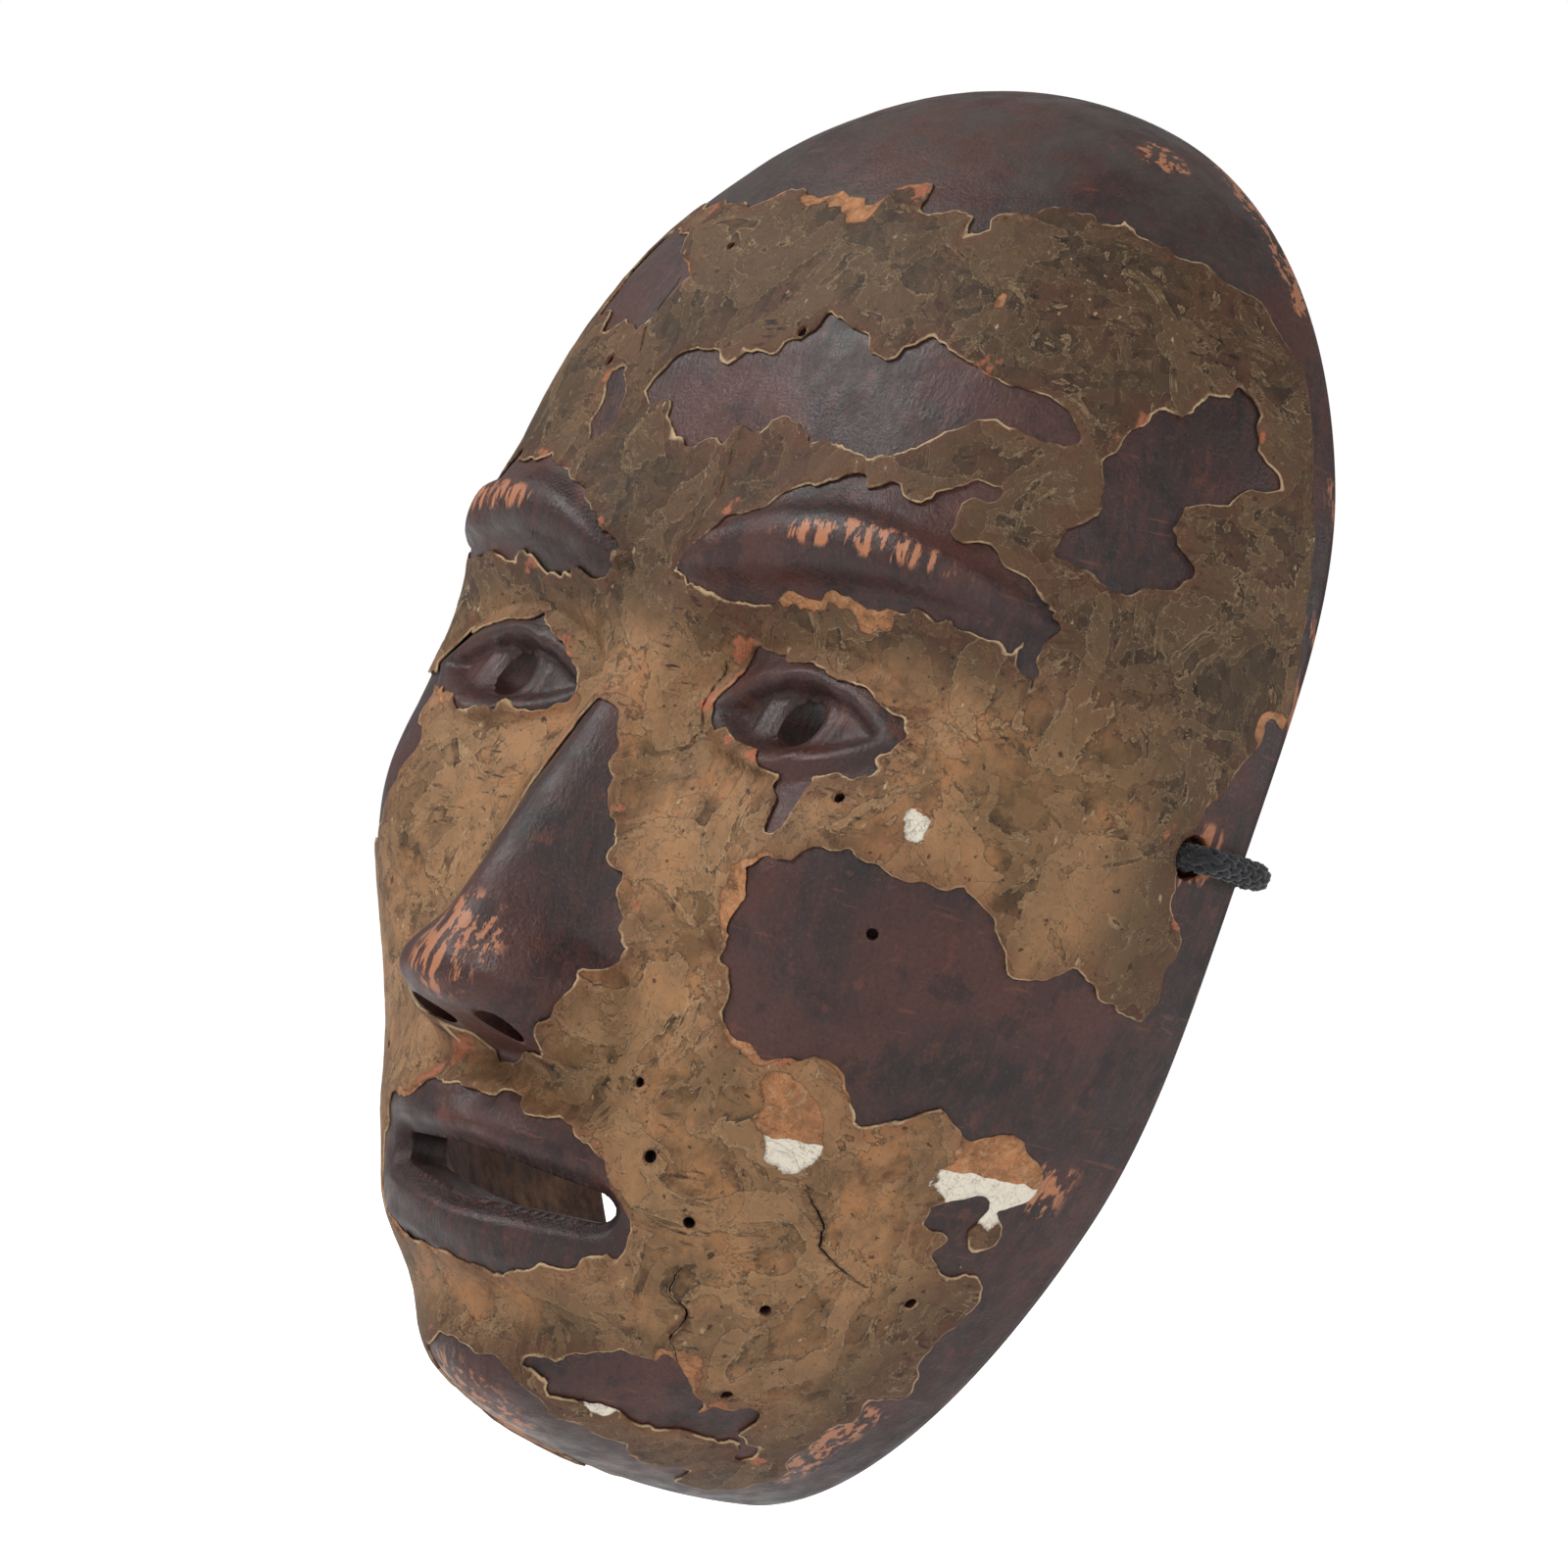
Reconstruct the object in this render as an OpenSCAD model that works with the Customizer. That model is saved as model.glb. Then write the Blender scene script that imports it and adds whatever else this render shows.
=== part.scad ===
// Noh mask: a carved wooden shell with flaking paint sheets, two cord loops tied round
// its rim at the ears, a hanging cord across the back, and two pads inside the forehead.
// The mask faces -Y and stands upright. The plane of its rim is Y = 0. The origin lies in that
// plane, midway between the two ear holes. Sizes are in millimetres and angles in degrees.

/* [Shell] */
// Height of the mask
mask_h = 212; // [190:1:230]
// Width of the mask at the rim, without the cord loops
mask_w = 148; // [130:1:160]
// How far the brow stands in front of the rim plane
mask_d = 56; // [48:1:60]
// Thickness of the wall, measured towards the middle of the face
wall = 8; // [7:0.5:10]

/* [Holes] */
// Radius of the round hole in each pupil
pupil_r = 3.5; // [3:0.1:5]
// Radius of each nostril
nostril_r = 3.2; // [2.5:0.1:3.5]
// Width of the gap between the lips
mouth_w = 44; // [36:1:50]
// Height of the gap between the lips
mouth_h = 7; // [5:0.5:8]
// Radius of each ear hole
ear_r = 3; // [2.6:0.1:3.4]
// Distance of the ear holes in front of the rim plane
ear_d = 15; // [14:0.5:17]

/* [Paint] */
// Thickness of the paint on its ground
paint_t = 0.5; // [0.3:0.1:0.8]

/* [Cord] */
// Diameter of the braided cord
cord_d = 4; // [3:0.5:4]
// Radius of each knot
knot_r = 4.4; // [4:0.1:4.8]

/* [Pads] */
// Thickness of each forehead pad at its crown
pad_t = 6; // [4:0.5:8]

/* [Hidden] */
$fn = 48;

// Outline and section of the face
pole_z = -18;          // height of the point on the nose that the rings run round
egg = 0.175;           // how much broader the forehead is than the jaw
egg_span = 2.056;      // width across the rim of an outline whose half width is 1
half_w = mask_w / egg_span;
half_h = mask_h / 2;
mid_z = 2;             // height of the outline's middle
round_top = 3;         // fullness of the section at the crown
round_gain = 4;        // how much fuller the section is at the chin
extra_wall = 0.5;      // wall added at the middle of the face
ear_z = 0;             // height of the ear holes
scallop = 5;           // depth of the hollow in the rim that each cord loop crosses
scallop_span = 30;     // half of that hollow's length, as an angle round the outline
scallop_fade = 8;      // how quickly that hollow fades away from the rim
front_fade = 16;       // how close to the rim the relief of the face keeps its strength
hollow_fade = 12;      // the same for the relief of the hollow inside

// Rings and spokes of the surface grid
spokes = 80;
front_rings = 22;
wall_rings = 10;
back_front_rings = 14;
back_wall_rings = 7;
turn_s = 0.8;          // where the face ends and the side wall begins

// Places of the features, each as [x, z]
pupil = [30, 5];
nostril = [7.2, -44.5];
mouth_z = -63.5;
nostril_d = 70;        // how far in front of the rim plane the nostrils open
nostril_tilt = 58;     // angle of the nostrils below straight ahead
mouth_corner = 0.6;    // radius at the corners of the mouth, as a share of half its height

// Cutters: where each starts, and its length
cut_from = 20;
cut_length = 70;
nostril_from = 8;
nostril_length = 34;
ear_from = 50;
ear_length = 40;

// Paint sheets, each as [first ring, last ring, first spoke, last spoke]
forehead_sheet = [12, 25, 11, 29];
left_temple_sheet = [16, 28, 2, 11];
right_temple_sheet = [16, 28, 29, 38];
left_cheek_sheet = [7, 28, 69, 82];
right_cheek_sheet = [7, 28, 38, 51];
upper_lip_sheet = [8, 10, 53, 67];
chin_sheet = [19, 27, 52, 68];
paint_lift = 0.02;     // gap between the paint and the wood

// Forehead pads, for the left one
pad_at = [20, 72];
pad_half = [15, 9.5];
pad_edge_t = 0.8;      // thickness at the edge
pad_round = 0.3;       // how much the corners are rounded off
pad_fall = 3;          // how flat the crown is before it falls away
pad_lift = 0.05;       // gap between the pad and the wood
pad_columns = 11;
pad_rows = 9;

// Cord loops: the centreline's rectangle in plan, and the radius of its corners
loop_in_x = 59.8;
loop_out_x = 74.3;
loop_back_y = -2.95;
loop_bend = 2.8;
knot_x = 58.6;
knot_y = -6;
cord_sides = 8;

// The hanging cord's right half, from the right knot down to its lowest point: [x, z]
cord_route = [
  [53.5, 0], [50.5, -0.8], [47.8, -3.2], [46, -7], [44, -12.5], [41.3, -18.5],
  [37.8, -24.5], [33.5, -30], [28.5, -35], [22.8, -39.5], [16, -43.2], [8.3, -45.7],
  [0, -46.5]
];

// A mound of height 1 at a = b = 0 that falls to 0.61 one unit away
function bump(a, b) = exp(-(a * a + b * b) / 2);
function clamp01(a) = max(0, min(1, a));
// 0 before from and 1 after to, smooth between
function ease(from, to, a) = let (k = clamp01((a - from) / (to - from))) k * k * (3 - 2 * k);

// The rim's outline at angle t, drawn in by inset
function outline(t, inset = 0) =
  let (
    edge = [half_w * cos(t) * (1 + egg * sin(t)), mid_z + half_h * sin(t)],
    ray = edge - [0, pole_z],
    reach = norm(ray)
  )
  [0, pole_z] + ray * (1 - inset / reach);

// Fullness of the section, which grows towards the chin
function fullness(t) = round_top + round_gain * pow(0.5 - 0.5 * sin(t), 2);
function section(s, t) = sqrt(max(0, 1 - pow(s, fullness(t))));
function ear_angle(t) = min(abs(t), abs(abs(t) - 180), abs(t - 360));
function scoop(t) =
  ear_angle(t) < scallop_span ? scallop * pow(cos(90 * ear_angle(t) / scallop_span), 2) : 0;

// Relief of the face in front of the plain section. Each term is a height times a mound whose
// place and spread are in millimetres, with ax the distance from the middle line.
function brow_line(ax) = 22 + 7 * sin(180 * clamp01((ax - 4) / 62));
function brow(ax, z) =
  4.2 * bump((z - brow_line(ax)) / 5, 0) * ease(2, 14, ax) * (1 - ease(44, 62, ax));
function socket(ax, z) =
  -9 * bump((ax - 30) / 15, (z - 7) / 9.5) - 3 * bump((ax - 14) / 5, (z - 6) / 7);
function eyeball(ax, z) = 5.5 * bump((ax - 30.5) / 10.5, (z - 4) / 6.5);
function under_nose(ax, z) = ease(-47.5, -41.5, z + 0.012 * ax * ax);
function nose(ax, z) =
  let (
    rise = 19 * (0.65 * clamp01((14 - z) / 50) + 0.35 * ease(14, -38, z)),
    spread = 5.6 + 3 * ease(8, -34, z)
  )
  under_nose(ax, z) * (
    rise * bump(ax / spread, 0) * (1 - 0.5 * ease(-38, -48, z))
    + 7.5 * bump((ax - 12.2) / 4.6, (z + 37.5) / 5.2)
  );
function mouth(ax, z) =
  5 * bump(ax / 26, (z + 62) / 17)
  + 3 * bump(ax / 17, (z + 57.5) / 3.6)
  + 3.4 * bump(ax / 15, (z + 71.5) / 4)
  - 1 * bump(ax / 2.6, (z + 51) / 5);
function chin(ax, z) = 7.5 * bump(ax / 16, (z + 92) / 9) - 4 * bump(ax / 18, (z + 81) / 4.5);
function cheeks(ax, z) =
  4.5 * bump((ax - 42) / 14, (z + 14) / 13)
  - 2.5 * bump((ax - 40) / 13, (z + 52) / 15)
  - 2.5 * bump((ax - 62) / 9, (z - 32) / 18)
  + 1.5 * bump((ax - 26) / 18, (z - 58) / 18);
function relief(x, z) =
  let (ax = abs(x))
  brow(ax, z) + socket(ax, z) + eyeball(ax, z) + nose(ax, z) + mouth(ax, z) + chin(ax, z)
  + cheeks(ax, z);

// Relief of the hollow inside
function hollow_relief(x, z) =
  let (ax = abs(x))
  10 * bump(ax / 8, (z + 27) / 12) + 5 * bump(ax / 24, (z + 62) / 16)
  - 2 * bump((ax - 30) / 17, (z - 6) / 12) - 4.5 * bump((ax - 15) / 8, (z - 7) / 10)
  + 3 * bump(ax / 15, (z + 88) / 9);

function front_point(s, t) =
  let (
    edge = outline(t),
    p = [0, pole_z] + s * (edge - [0, pole_z]),
    d = mask_d * section(s, t) + relief(p[0], p[1]) * (1 - pow(s, front_fade))
      + scoop(t) * pow(s, scallop_fade)
  )
  [p[0], -d, p[1]];
function back_point(s, t) =
  let (
    edge = outline(t, wall),
    p = [0, pole_z] + s * (edge - [0, pole_z]),
    d = (mask_d - wall - extra_wall) * section(s, t)
      + hollow_relief(p[0], p[1]) * (1 - pow(s, hollow_fade))
      + scoop(t) * pow(s, scallop_fade)
  )
  [p[0], -d, p[1]];

// Share of the way from the pole to the rim at which ring i lies
function ring_s(i, t, face_rings, side_rings) =
  i <= face_rings
    ? turn_s * i / face_rings
    : let (start = section(turn_s, t), left = 1 - (i - face_rings) / side_rings)
      pow(1 - pow(start * left, 2), 1 / fullness(t));
function spoke_t(j) = 360 * j / spokes;
function front_s(i, j) = ring_s(i, spoke_t(j), front_rings, wall_rings);
function front_at(i, j) = front_point(front_s(i, j), spoke_t(j));
function back_at(i, j) =
  back_point(ring_s(i, spoke_t(j), back_front_rings, back_wall_rings), spoke_t(j));

function unit(v) = v / norm(v);
function front_normal(i, j) =
  unit(cross(front_at(i + 1, j) - front_at(i - 1, j), front_at(i, j + 1) - front_at(i, j - 1)));

// The two triangles that fill a four-cornered cell
function cell(a, b, c, d) = [[a, b, c], [a, c, d]];

module shell_blank() {
  rings = front_rings + wall_rings;
  back_rings = back_front_rings + back_wall_rings;
  first_back = rings * spokes + 1;
  pole_back = first_back + back_rings * spokes;
  points = concat(
    [front_point(0, 0)],
    [for (i = [1:rings]) for (j = [0:spokes - 1]) front_at(i, j)],
    [for (i = [1:back_rings]) for (j = [0:spokes - 1]) back_at(i, j)],
    [back_point(0, 0)]
  );
  function f(i, j) = 1 + (i - 1) * spokes + j % spokes;
  function b(i, j) = first_back + (i - 1) * spokes + j % spokes;
  faces = concat(
    [for (j = [0:spokes - 1]) [0, f(1, j), f(1, j + 1)]],
    [for (i = [1:rings - 1]) for (j = [0:spokes - 1])
      each cell(f(i, j), f(i + 1, j), f(i + 1, j + 1), f(i, j + 1))],
    [for (j = [0:spokes - 1])
      each cell(f(rings, j), b(back_rings, j), b(back_rings, j + 1), f(rings, j + 1))],
    [for (i = [1:back_rings - 1]) for (j = [0:spokes - 1])
      each cell(b(i + 1, j), b(i, j), b(i, j + 1), b(i + 1, j + 1))],
    [for (j = [0:spokes - 1]) [b(1, j), pole_back, b(1, j + 1)]]
  );
  polyhedron(points, faces);
}

module mouth_gap() {
  end_r = mouth_corner * mouth_h / 2;
  translate([0, -cut_from, mouth_z])
    rotate([90, 0, 0])
      linear_extrude(height = cut_length)
        hull() {
          for (side = [-1, 1])
            translate([side * (mouth_w / 2 - end_r), 0])
              circle(r = end_r);
          circle(r = mouth_h / 2);
        }
}

module face_holes() {
  for (side = [-1, 1]) {
    translate([side * pupil[0], -cut_from, pupil[1]])
      rotate([90, 0, 0])
        cylinder(r = pupil_r, h = cut_length);
    translate([side * nostril[0], -nostril_d, nostril[1]])
      rotate([-nostril_tilt, 0, 0])
        translate([0, 0, -nostril_from])
          cylinder(r = nostril_r, h = nostril_length);
  }
  mouth_gap();
}

module ear_holes() {
  for (side = [-1, 1])
    translate([side * ear_from, -ear_d, ear_z])
      rotate([0, side * 90, 0])
        cylinder(r = ear_r, h = ear_length);
}

module mask_shell() {
  color([0.27, 0.19, 0.17])
    difference() {
      shell_blank();
      face_holes();
      ear_holes();
    }
}

// A sheet of paint on the front
module paint_sheet(extent) {
  rows = extent[1] - extent[0] + 1;
  columns = extent[3] - extent[2] + 1;
  points = [
    for (layer = [paint_lift, paint_t])
      for (i = [extent[0]:extent[1]])
        for (j = [extent[2]:extent[3]])
          front_at(i, j) + layer * front_normal(i, j)
  ];
  function lower(r, c) = r * columns + c;
  function upper(r, c) = rows * columns + r * columns + c;
  faces = concat(
    [for (r = [0:rows - 2]) for (c = [0:columns - 2])
      each cell(upper(r, c), upper(r + 1, c), upper(r + 1, c + 1), upper(r, c + 1))],
    [for (r = [0:rows - 2]) for (c = [0:columns - 2])
      each cell(lower(r, c), lower(r, c + 1), lower(r + 1, c + 1), lower(r + 1, c))],
    [for (c = [0:columns - 2])
      each cell(lower(0, c), upper(0, c), upper(0, c + 1), lower(0, c + 1))],
    [for (c = [0:columns - 2])
      each cell(upper(rows - 1, c), lower(rows - 1, c), lower(rows - 1, c + 1),
        upper(rows - 1, c + 1))],
    [for (r = [0:rows - 2])
      each cell(upper(r, 0), lower(r, 0), lower(r + 1, 0), upper(r + 1, 0))],
    [for (r = [0:rows - 2])
      each cell(lower(r, columns - 1), upper(r, columns - 1), upper(r + 1, columns - 1),
        lower(r + 1, columns - 1))]
  );
  color([0.42, 0.33, 0.26])
    polyhedron(points, faces);
}

module forehead_paint() { paint_sheet(forehead_sheet); }
module left_temple_paint() { paint_sheet(left_temple_sheet); }
module right_temple_paint() { paint_sheet(right_temple_sheet); }
module left_cheek_paint() { paint_sheet(left_cheek_sheet); }
module right_cheek_paint() { paint_sheet(right_cheek_sheet); }
module upper_lip_paint() { paint_sheet(upper_lip_sheet); }
module chin_paint() { paint_sheet(chin_sheet); }

// A straight piece of the loop from one point to the next, in plan
module loop_run(from, to) {
  run = to - from;
  translate([from[0], from[1], ear_z])
    rotate([0, 0, atan2(run[1], run[0])])
      rotate([0, 90, 0])
        cylinder(d = cord_d, h = norm(run));
}

module loop_corner(centre, start) {
  translate([centre[0], centre[1], ear_z])
    rotate([0, 0, start])
      rotate_extrude(angle = 90)
        translate([loop_bend, 0])
          circle(d = cord_d);
}

// The cord loop round the strip of wood between the ear hole and the rim
module rim_loop() {
  x0 = loop_in_x;
  x1 = loop_out_x;
  y0 = -ear_d;
  y1 = loop_back_y;
  b = loop_bend;
  color([0.1, 0.1, 0.11])
    union() {
      loop_run([x0 + b, y0], [x1 - b, y0]);
      loop_run([x1, y0 + b], [x1, y1 - b]);
      loop_run([x0 + b, y1], [x1 - b, y1]);
      loop_run([x0, y0 + b], [x0, y1 - b]);
      loop_corner([x1 - b, y0 + b], -90);
      loop_corner([x1 - b, y1 - b], 0);
      loop_corner([x0 + b, y1 - b], 90);
      loop_corner([x0 + b, y0 + b], 180);
    }
}

module knot() {
  color([0.1, 0.1, 0.11])
    translate([knot_x, knot_y, ear_z])
      sphere(r = knot_r);
}

// A tube swept along points that lie in a plane of constant Y
module cord_tube(route, y) {
  rows = len(route);
  function along(i) = unit(route[min(i + 1, rows - 1)] - route[max(i - 1, 0)]);
  function across(i) = [-along(i)[1], along(i)[0]];
  points = [
    for (i = [0:rows - 1])
      for (k = [0:cord_sides - 1])
        let (a = 360 * k / cord_sides, out = cord_d / 2 * cos(a), up = cord_d / 2 * sin(a))
        [route[i][0] + out * across(i)[0], y + up, route[i][1] + out * across(i)[1]]
  ];
  faces = concat(
    [[for (k = [cord_sides - 1:-1:0]) k]],
    [for (i = [0:rows - 2]) for (k = [0:cord_sides - 1])
      each cell(i * cord_sides + k, i * cord_sides + (k + 1) % cord_sides,
        (i + 1) * cord_sides + (k + 1) % cord_sides, (i + 1) * cord_sides + k)],
    [[for (k = [0:cord_sides - 1]) (rows - 1) * cord_sides + k]]
  );
  polyhedron(points, faces);
}

module hanging_cord() {
  last = len(cord_route) - 1;
  left_half = [for (i = [1:last]) [-cord_route[last - i][0], cord_route[last - i][1]]];
  color([0.1, 0.1, 0.11])
    cord_tube(concat(cord_route, left_half), knot_y);
}

// A crowned pad on the inside of the forehead
module forehead_pad() {
  function share(k, n) = 2 * k / (n - 1) - 1;
  // The angle of the spoke that passes through [x, z], by halving the range that holds it
  function spoke_of(x, z, low = 0, high = 180, turns = 18) =
    let (mid = (low + high) / 2, ray = outline(mid, wall) - [0, pole_z])
    turns == 0
      ? mid
      : (ray[0] * (z - pole_z) > ray[1] * x
        ? spoke_of(x, z, mid, high, turns - 1)
        : spoke_of(x, z, low, mid, turns - 1));
  function wall_y(x, z) =
    let (t = spoke_of(x, z), ray = outline(t, wall) - [0, pole_z])
    back_point(norm([x, z - pole_z]) / norm(ray), t)[1];
  function crown(u, v) = sqrt((1 - pow(abs(u), pad_fall)) * (1 - pow(abs(v), pad_fall)));
  points = [
    for (layer = [0, 1])
      for (r = [0:pad_rows - 1])
        for (c = [0:pad_columns - 1])
          let (
            u = share(c, pad_columns),
            v = share(r, pad_rows),
            x = pad_at[0] + pad_half[0] * u * sqrt(1 - pad_round * v * v),
            z = pad_at[1] + pad_half[1] * v * sqrt(1 - pad_round * u * u)
          )
          [
            x,
            wall_y(x, z) + pad_lift
              + layer * (pad_edge_t + (pad_t - pad_edge_t) * crown(u, v)),
            z
          ]
  ];
  function low(r, c) = r * pad_columns + c;
  function high(r, c) = pad_rows * pad_columns + r * pad_columns + c;
  faces = concat(
    [for (r = [0:pad_rows - 2]) for (c = [0:pad_columns - 2])
      each cell(high(r, c), high(r, c + 1), high(r + 1, c + 1), high(r + 1, c))],
    [for (r = [0:pad_rows - 2]) for (c = [0:pad_columns - 2])
      each cell(low(r, c), low(r + 1, c), low(r + 1, c + 1), low(r, c + 1))],
    [for (c = [0:pad_columns - 2])
      each cell(low(0, c), low(0, c + 1), high(0, c + 1), high(0, c))],
    [for (c = [0:pad_columns - 2])
      each cell(high(pad_rows - 1, c), high(pad_rows - 1, c + 1), low(pad_rows - 1, c + 1),
        low(pad_rows - 1, c))],
    [for (r = [0:pad_rows - 2])
      each cell(low(r, 0), high(r, 0), high(r + 1, 0), low(r + 1, 0))],
    [for (r = [0:pad_rows - 2])
      each cell(high(r, pad_columns - 1), low(r, pad_columns - 1), low(r + 1, pad_columns - 1),
        high(r + 1, pad_columns - 1))]
  );
  color([0.45, 0.32, 0.22])
    polyhedron(points, faces);
}

module left_rim_loop() { rim_loop(); }
module right_rim_loop() { mirror([1, 0, 0]) rim_loop(); }
module left_knot() { knot(); }
module right_knot() { mirror([1, 0, 0]) knot(); }
module left_forehead_pad() { forehead_pad(); }
module right_forehead_pad() { mirror([1, 0, 0]) forehead_pad(); }

mask_shell();
forehead_paint();
left_temple_paint();
right_temple_paint();
left_cheek_paint();
right_cheek_paint();
upper_lip_paint();
chin_paint();
left_rim_loop();
right_rim_loop();
left_knot();
right_knot();
hanging_cord();
left_forehead_pad();
right_forehead_pad();
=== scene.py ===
"""The looks of the noh mask: carved lacquered wood, flaking paint, braided cord and cotton pads.

The face is worked out in millimetres by the same formulas as the CAD shell, with finer carving
added, and every mesh is scaled to metres when it is made.
"""
import math

import bmesh
import bpy
import numpy as np
from mathutils import Matrix, Vector, kdtree


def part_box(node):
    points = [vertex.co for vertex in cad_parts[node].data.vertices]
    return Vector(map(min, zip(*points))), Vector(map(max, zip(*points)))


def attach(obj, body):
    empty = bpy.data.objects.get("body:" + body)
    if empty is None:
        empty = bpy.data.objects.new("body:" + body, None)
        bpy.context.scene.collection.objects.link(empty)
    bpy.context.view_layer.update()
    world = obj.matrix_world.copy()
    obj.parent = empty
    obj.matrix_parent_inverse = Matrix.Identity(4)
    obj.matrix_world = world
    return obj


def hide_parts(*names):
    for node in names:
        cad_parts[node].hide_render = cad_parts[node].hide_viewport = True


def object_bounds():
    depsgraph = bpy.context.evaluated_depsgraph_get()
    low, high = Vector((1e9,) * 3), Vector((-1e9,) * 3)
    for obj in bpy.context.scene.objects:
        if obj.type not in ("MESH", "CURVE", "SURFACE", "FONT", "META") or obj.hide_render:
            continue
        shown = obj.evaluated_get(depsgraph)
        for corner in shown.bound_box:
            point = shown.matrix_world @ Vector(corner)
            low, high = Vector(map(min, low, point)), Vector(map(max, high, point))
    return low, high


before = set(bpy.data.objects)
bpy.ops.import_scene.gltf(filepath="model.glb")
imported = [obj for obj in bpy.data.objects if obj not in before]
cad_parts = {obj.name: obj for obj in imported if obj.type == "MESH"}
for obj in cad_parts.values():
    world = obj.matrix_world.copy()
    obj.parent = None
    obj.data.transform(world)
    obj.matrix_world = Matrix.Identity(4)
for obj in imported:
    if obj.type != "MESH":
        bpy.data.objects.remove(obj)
cad_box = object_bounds()

MM = 0.001
SEED = 11
# Sizes in millimetres: the height and the width are read from the CAD shell, and the others
# repeat the numbers that the CAD is made from
shell_low, shell_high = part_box("mask_shell")
MASK_H = (shell_high.z - shell_low.z) / MM
HALF_H = MASK_H / 2
MID_Z = (shell_high.z + shell_low.z) / 2 / MM
MASK_D = 56.0
WALL = 8.0
EXTRA_WALL = 0.5      # wall added at the middle of the face
POLE_Z = -18.0
EGG = 0.175
RIM_TURNS = np.linspace(-np.pi, np.pi, 721)
WIDEST = (np.cos(RIM_TURNS) * (1 + EGG * np.sin(RIM_TURNS))).max()
HALF_W = (shell_high.x - shell_low.x) / 2 / MM / WIDEST
EAR_D = 15.0
SCALLOP = 5.0
SCALLOP_SPAN = 30.0
PUPIL = (30.0, 5.0)
PUPIL_R = 3.5
NOSTRIL = (7.2, -44.5)
NOSTRIL_R = 3.2
NOSTRIL_TILT = 58.0
MOUTH_Z = -63.5
MOUTH_W = 44.0
MOUTH_H = 7.0
MOUTH_END_R = 2.1     # radius of the gap's round ends
MOUTH_TAPER = 0.4     # the share of its height that the gap loses towards its ends
EAR_R = 3.0
PAINT_T = 0.5
CORD_D = 4.0
KNOT_AT = (58.6, -6.0, 0.0)


# ---- noise

def hashed(ix, iy, iz, seed):
    """A repeatable random number from 0 to 1 for each lattice point."""
    h = (ix * 374761393 + iy * 668265263 + iz * 2147483647 + seed * 144665) & 0xFFFFFFFF
    h = ((h ^ (h >> 13)) * 1274126177) & 0xFFFFFFFF
    h = ((h ^ (h >> 16)) * 2246822519) & 0xFFFFFFFF
    return ((h ^ (h >> 15)) & 0xFFFFFF) / 16777215.0


def value_noise(points, size, seed):
    """Smooth noise from -1 to 1 whose blobs are about size across."""
    q = points / size
    base = np.floor(q).astype(np.int64)
    part = q - base
    part = part * part * (3 - 2 * part)
    total = np.zeros(len(points))
    for dx, dy, dz in np.ndindex(2, 2, 2):
        weight = (np.where(dx, part[:, 0], 1 - part[:, 0])
                  * np.where(dy, part[:, 1], 1 - part[:, 1])
                  * np.where(dz, part[:, 2], 1 - part[:, 2]))
        total += weight * hashed(base[:, 0] + dx, base[:, 1] + dy, base[:, 2] + dz, seed)
    return total * 2 - 1


def fbm(points, size, seed, octaves=4):
    """Noise in several octaves, each half as large and half as strong as the one before."""
    total = np.zeros(len(points))
    gain, scale = 1.0, size
    for k in range(octaves):
        total += gain * value_noise(points, scale, seed + 17 * k)
        gain *= 0.5
        scale *= 0.5
    return total / 1.5


# ---- the face, in millimetres

def bump(a, b=0.0):
    """A mound of height 1 at a = b = 0 that falls to 0.61 one unit away."""
    return np.exp(-(a * a + b * b) / 2)


def ease(start, end, a):
    """0 before start and 1 after end, smooth between."""
    k = np.clip((a - start) / (end - start), 0, 1)
    return k * k * (3 - 2 * k)


def outline(t, inset=0.0):
    """The rim at angle t, from the pole, drawn in by inset."""
    x = HALF_W * np.cos(t) * (1 + EGG * np.sin(t))
    z = MID_Z + HALF_H * np.sin(t) - POLE_Z
    share = 1 - inset / np.hypot(x, z)
    return x * share, z * share


def fullness(t):
    """How boxy the section is at angle t: more so towards the chin."""
    return 3 + 4 * (0.5 - 0.5 * np.sin(t)) ** 2


def section(s, t):
    """Height of the plain section at share s of the way to the rim, as a share of its depth."""
    return np.sqrt(np.maximum(0, 1 - s ** fullness(t)))


def scoop(t):
    """How far the rim is hollowed forwards at angle t, to pass the cord by the ears."""
    turn = np.degrees(t) % 360
    off = np.minimum(np.minimum(turn, np.abs(turn - 180)), 360 - turn)
    return np.where(off < SCALLOP_SPAN, SCALLOP * np.cos(np.radians(90 * off / SCALLOP_SPAN)) ** 2, 0)


def brow_line(ax):
    """Height of the middle of the brow."""
    return 22 + 7 * np.sin(np.pi * np.clip((ax - 4) / 62, 0, 1))


def brow_gap(ax, z):
    """How far a point is outside the carved brow, in half widths of the brow: under 1 is on it."""
    taper = np.sqrt(np.clip((ax - 7) / 16, 0.02, 1)) * np.sqrt(np.clip((61 - ax) / 26, 0.02, 1))
    return np.abs(z - brow_line(ax)) / (4.6 * taper) + 3 * ease(6, 3, ax) + 3 * ease(60, 63, ax)


def lid_gap(ax, z):
    """Distance outside the almond of the open eye, in millimetres: below 0 is inside it."""
    upper = np.hypot(ax - PUPIL[0], z - (PUPIL[1] + 5.2 - 22.5)) - 22.5
    lower = np.hypot(ax - PUPIL[0], z - (PUPIL[1] - 4.4 + 25.5)) - 25.5
    return np.maximum(upper, lower)


def mouth_gap(ax, z):
    """Distance outside the gap between the lips, in millimetres."""
    half = MOUTH_H / 2 * (1 - MOUTH_TAPER * np.clip(ax / (MOUTH_W / 2), 0, 1))
    beyond = np.maximum(ax - (MOUTH_W / 2 - MOUTH_END_R), 0)
    off = np.abs(z - MOUTH_Z)
    return np.where(beyond > 0, np.hypot(beyond, off) - MOUTH_END_R, off - half)


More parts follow.
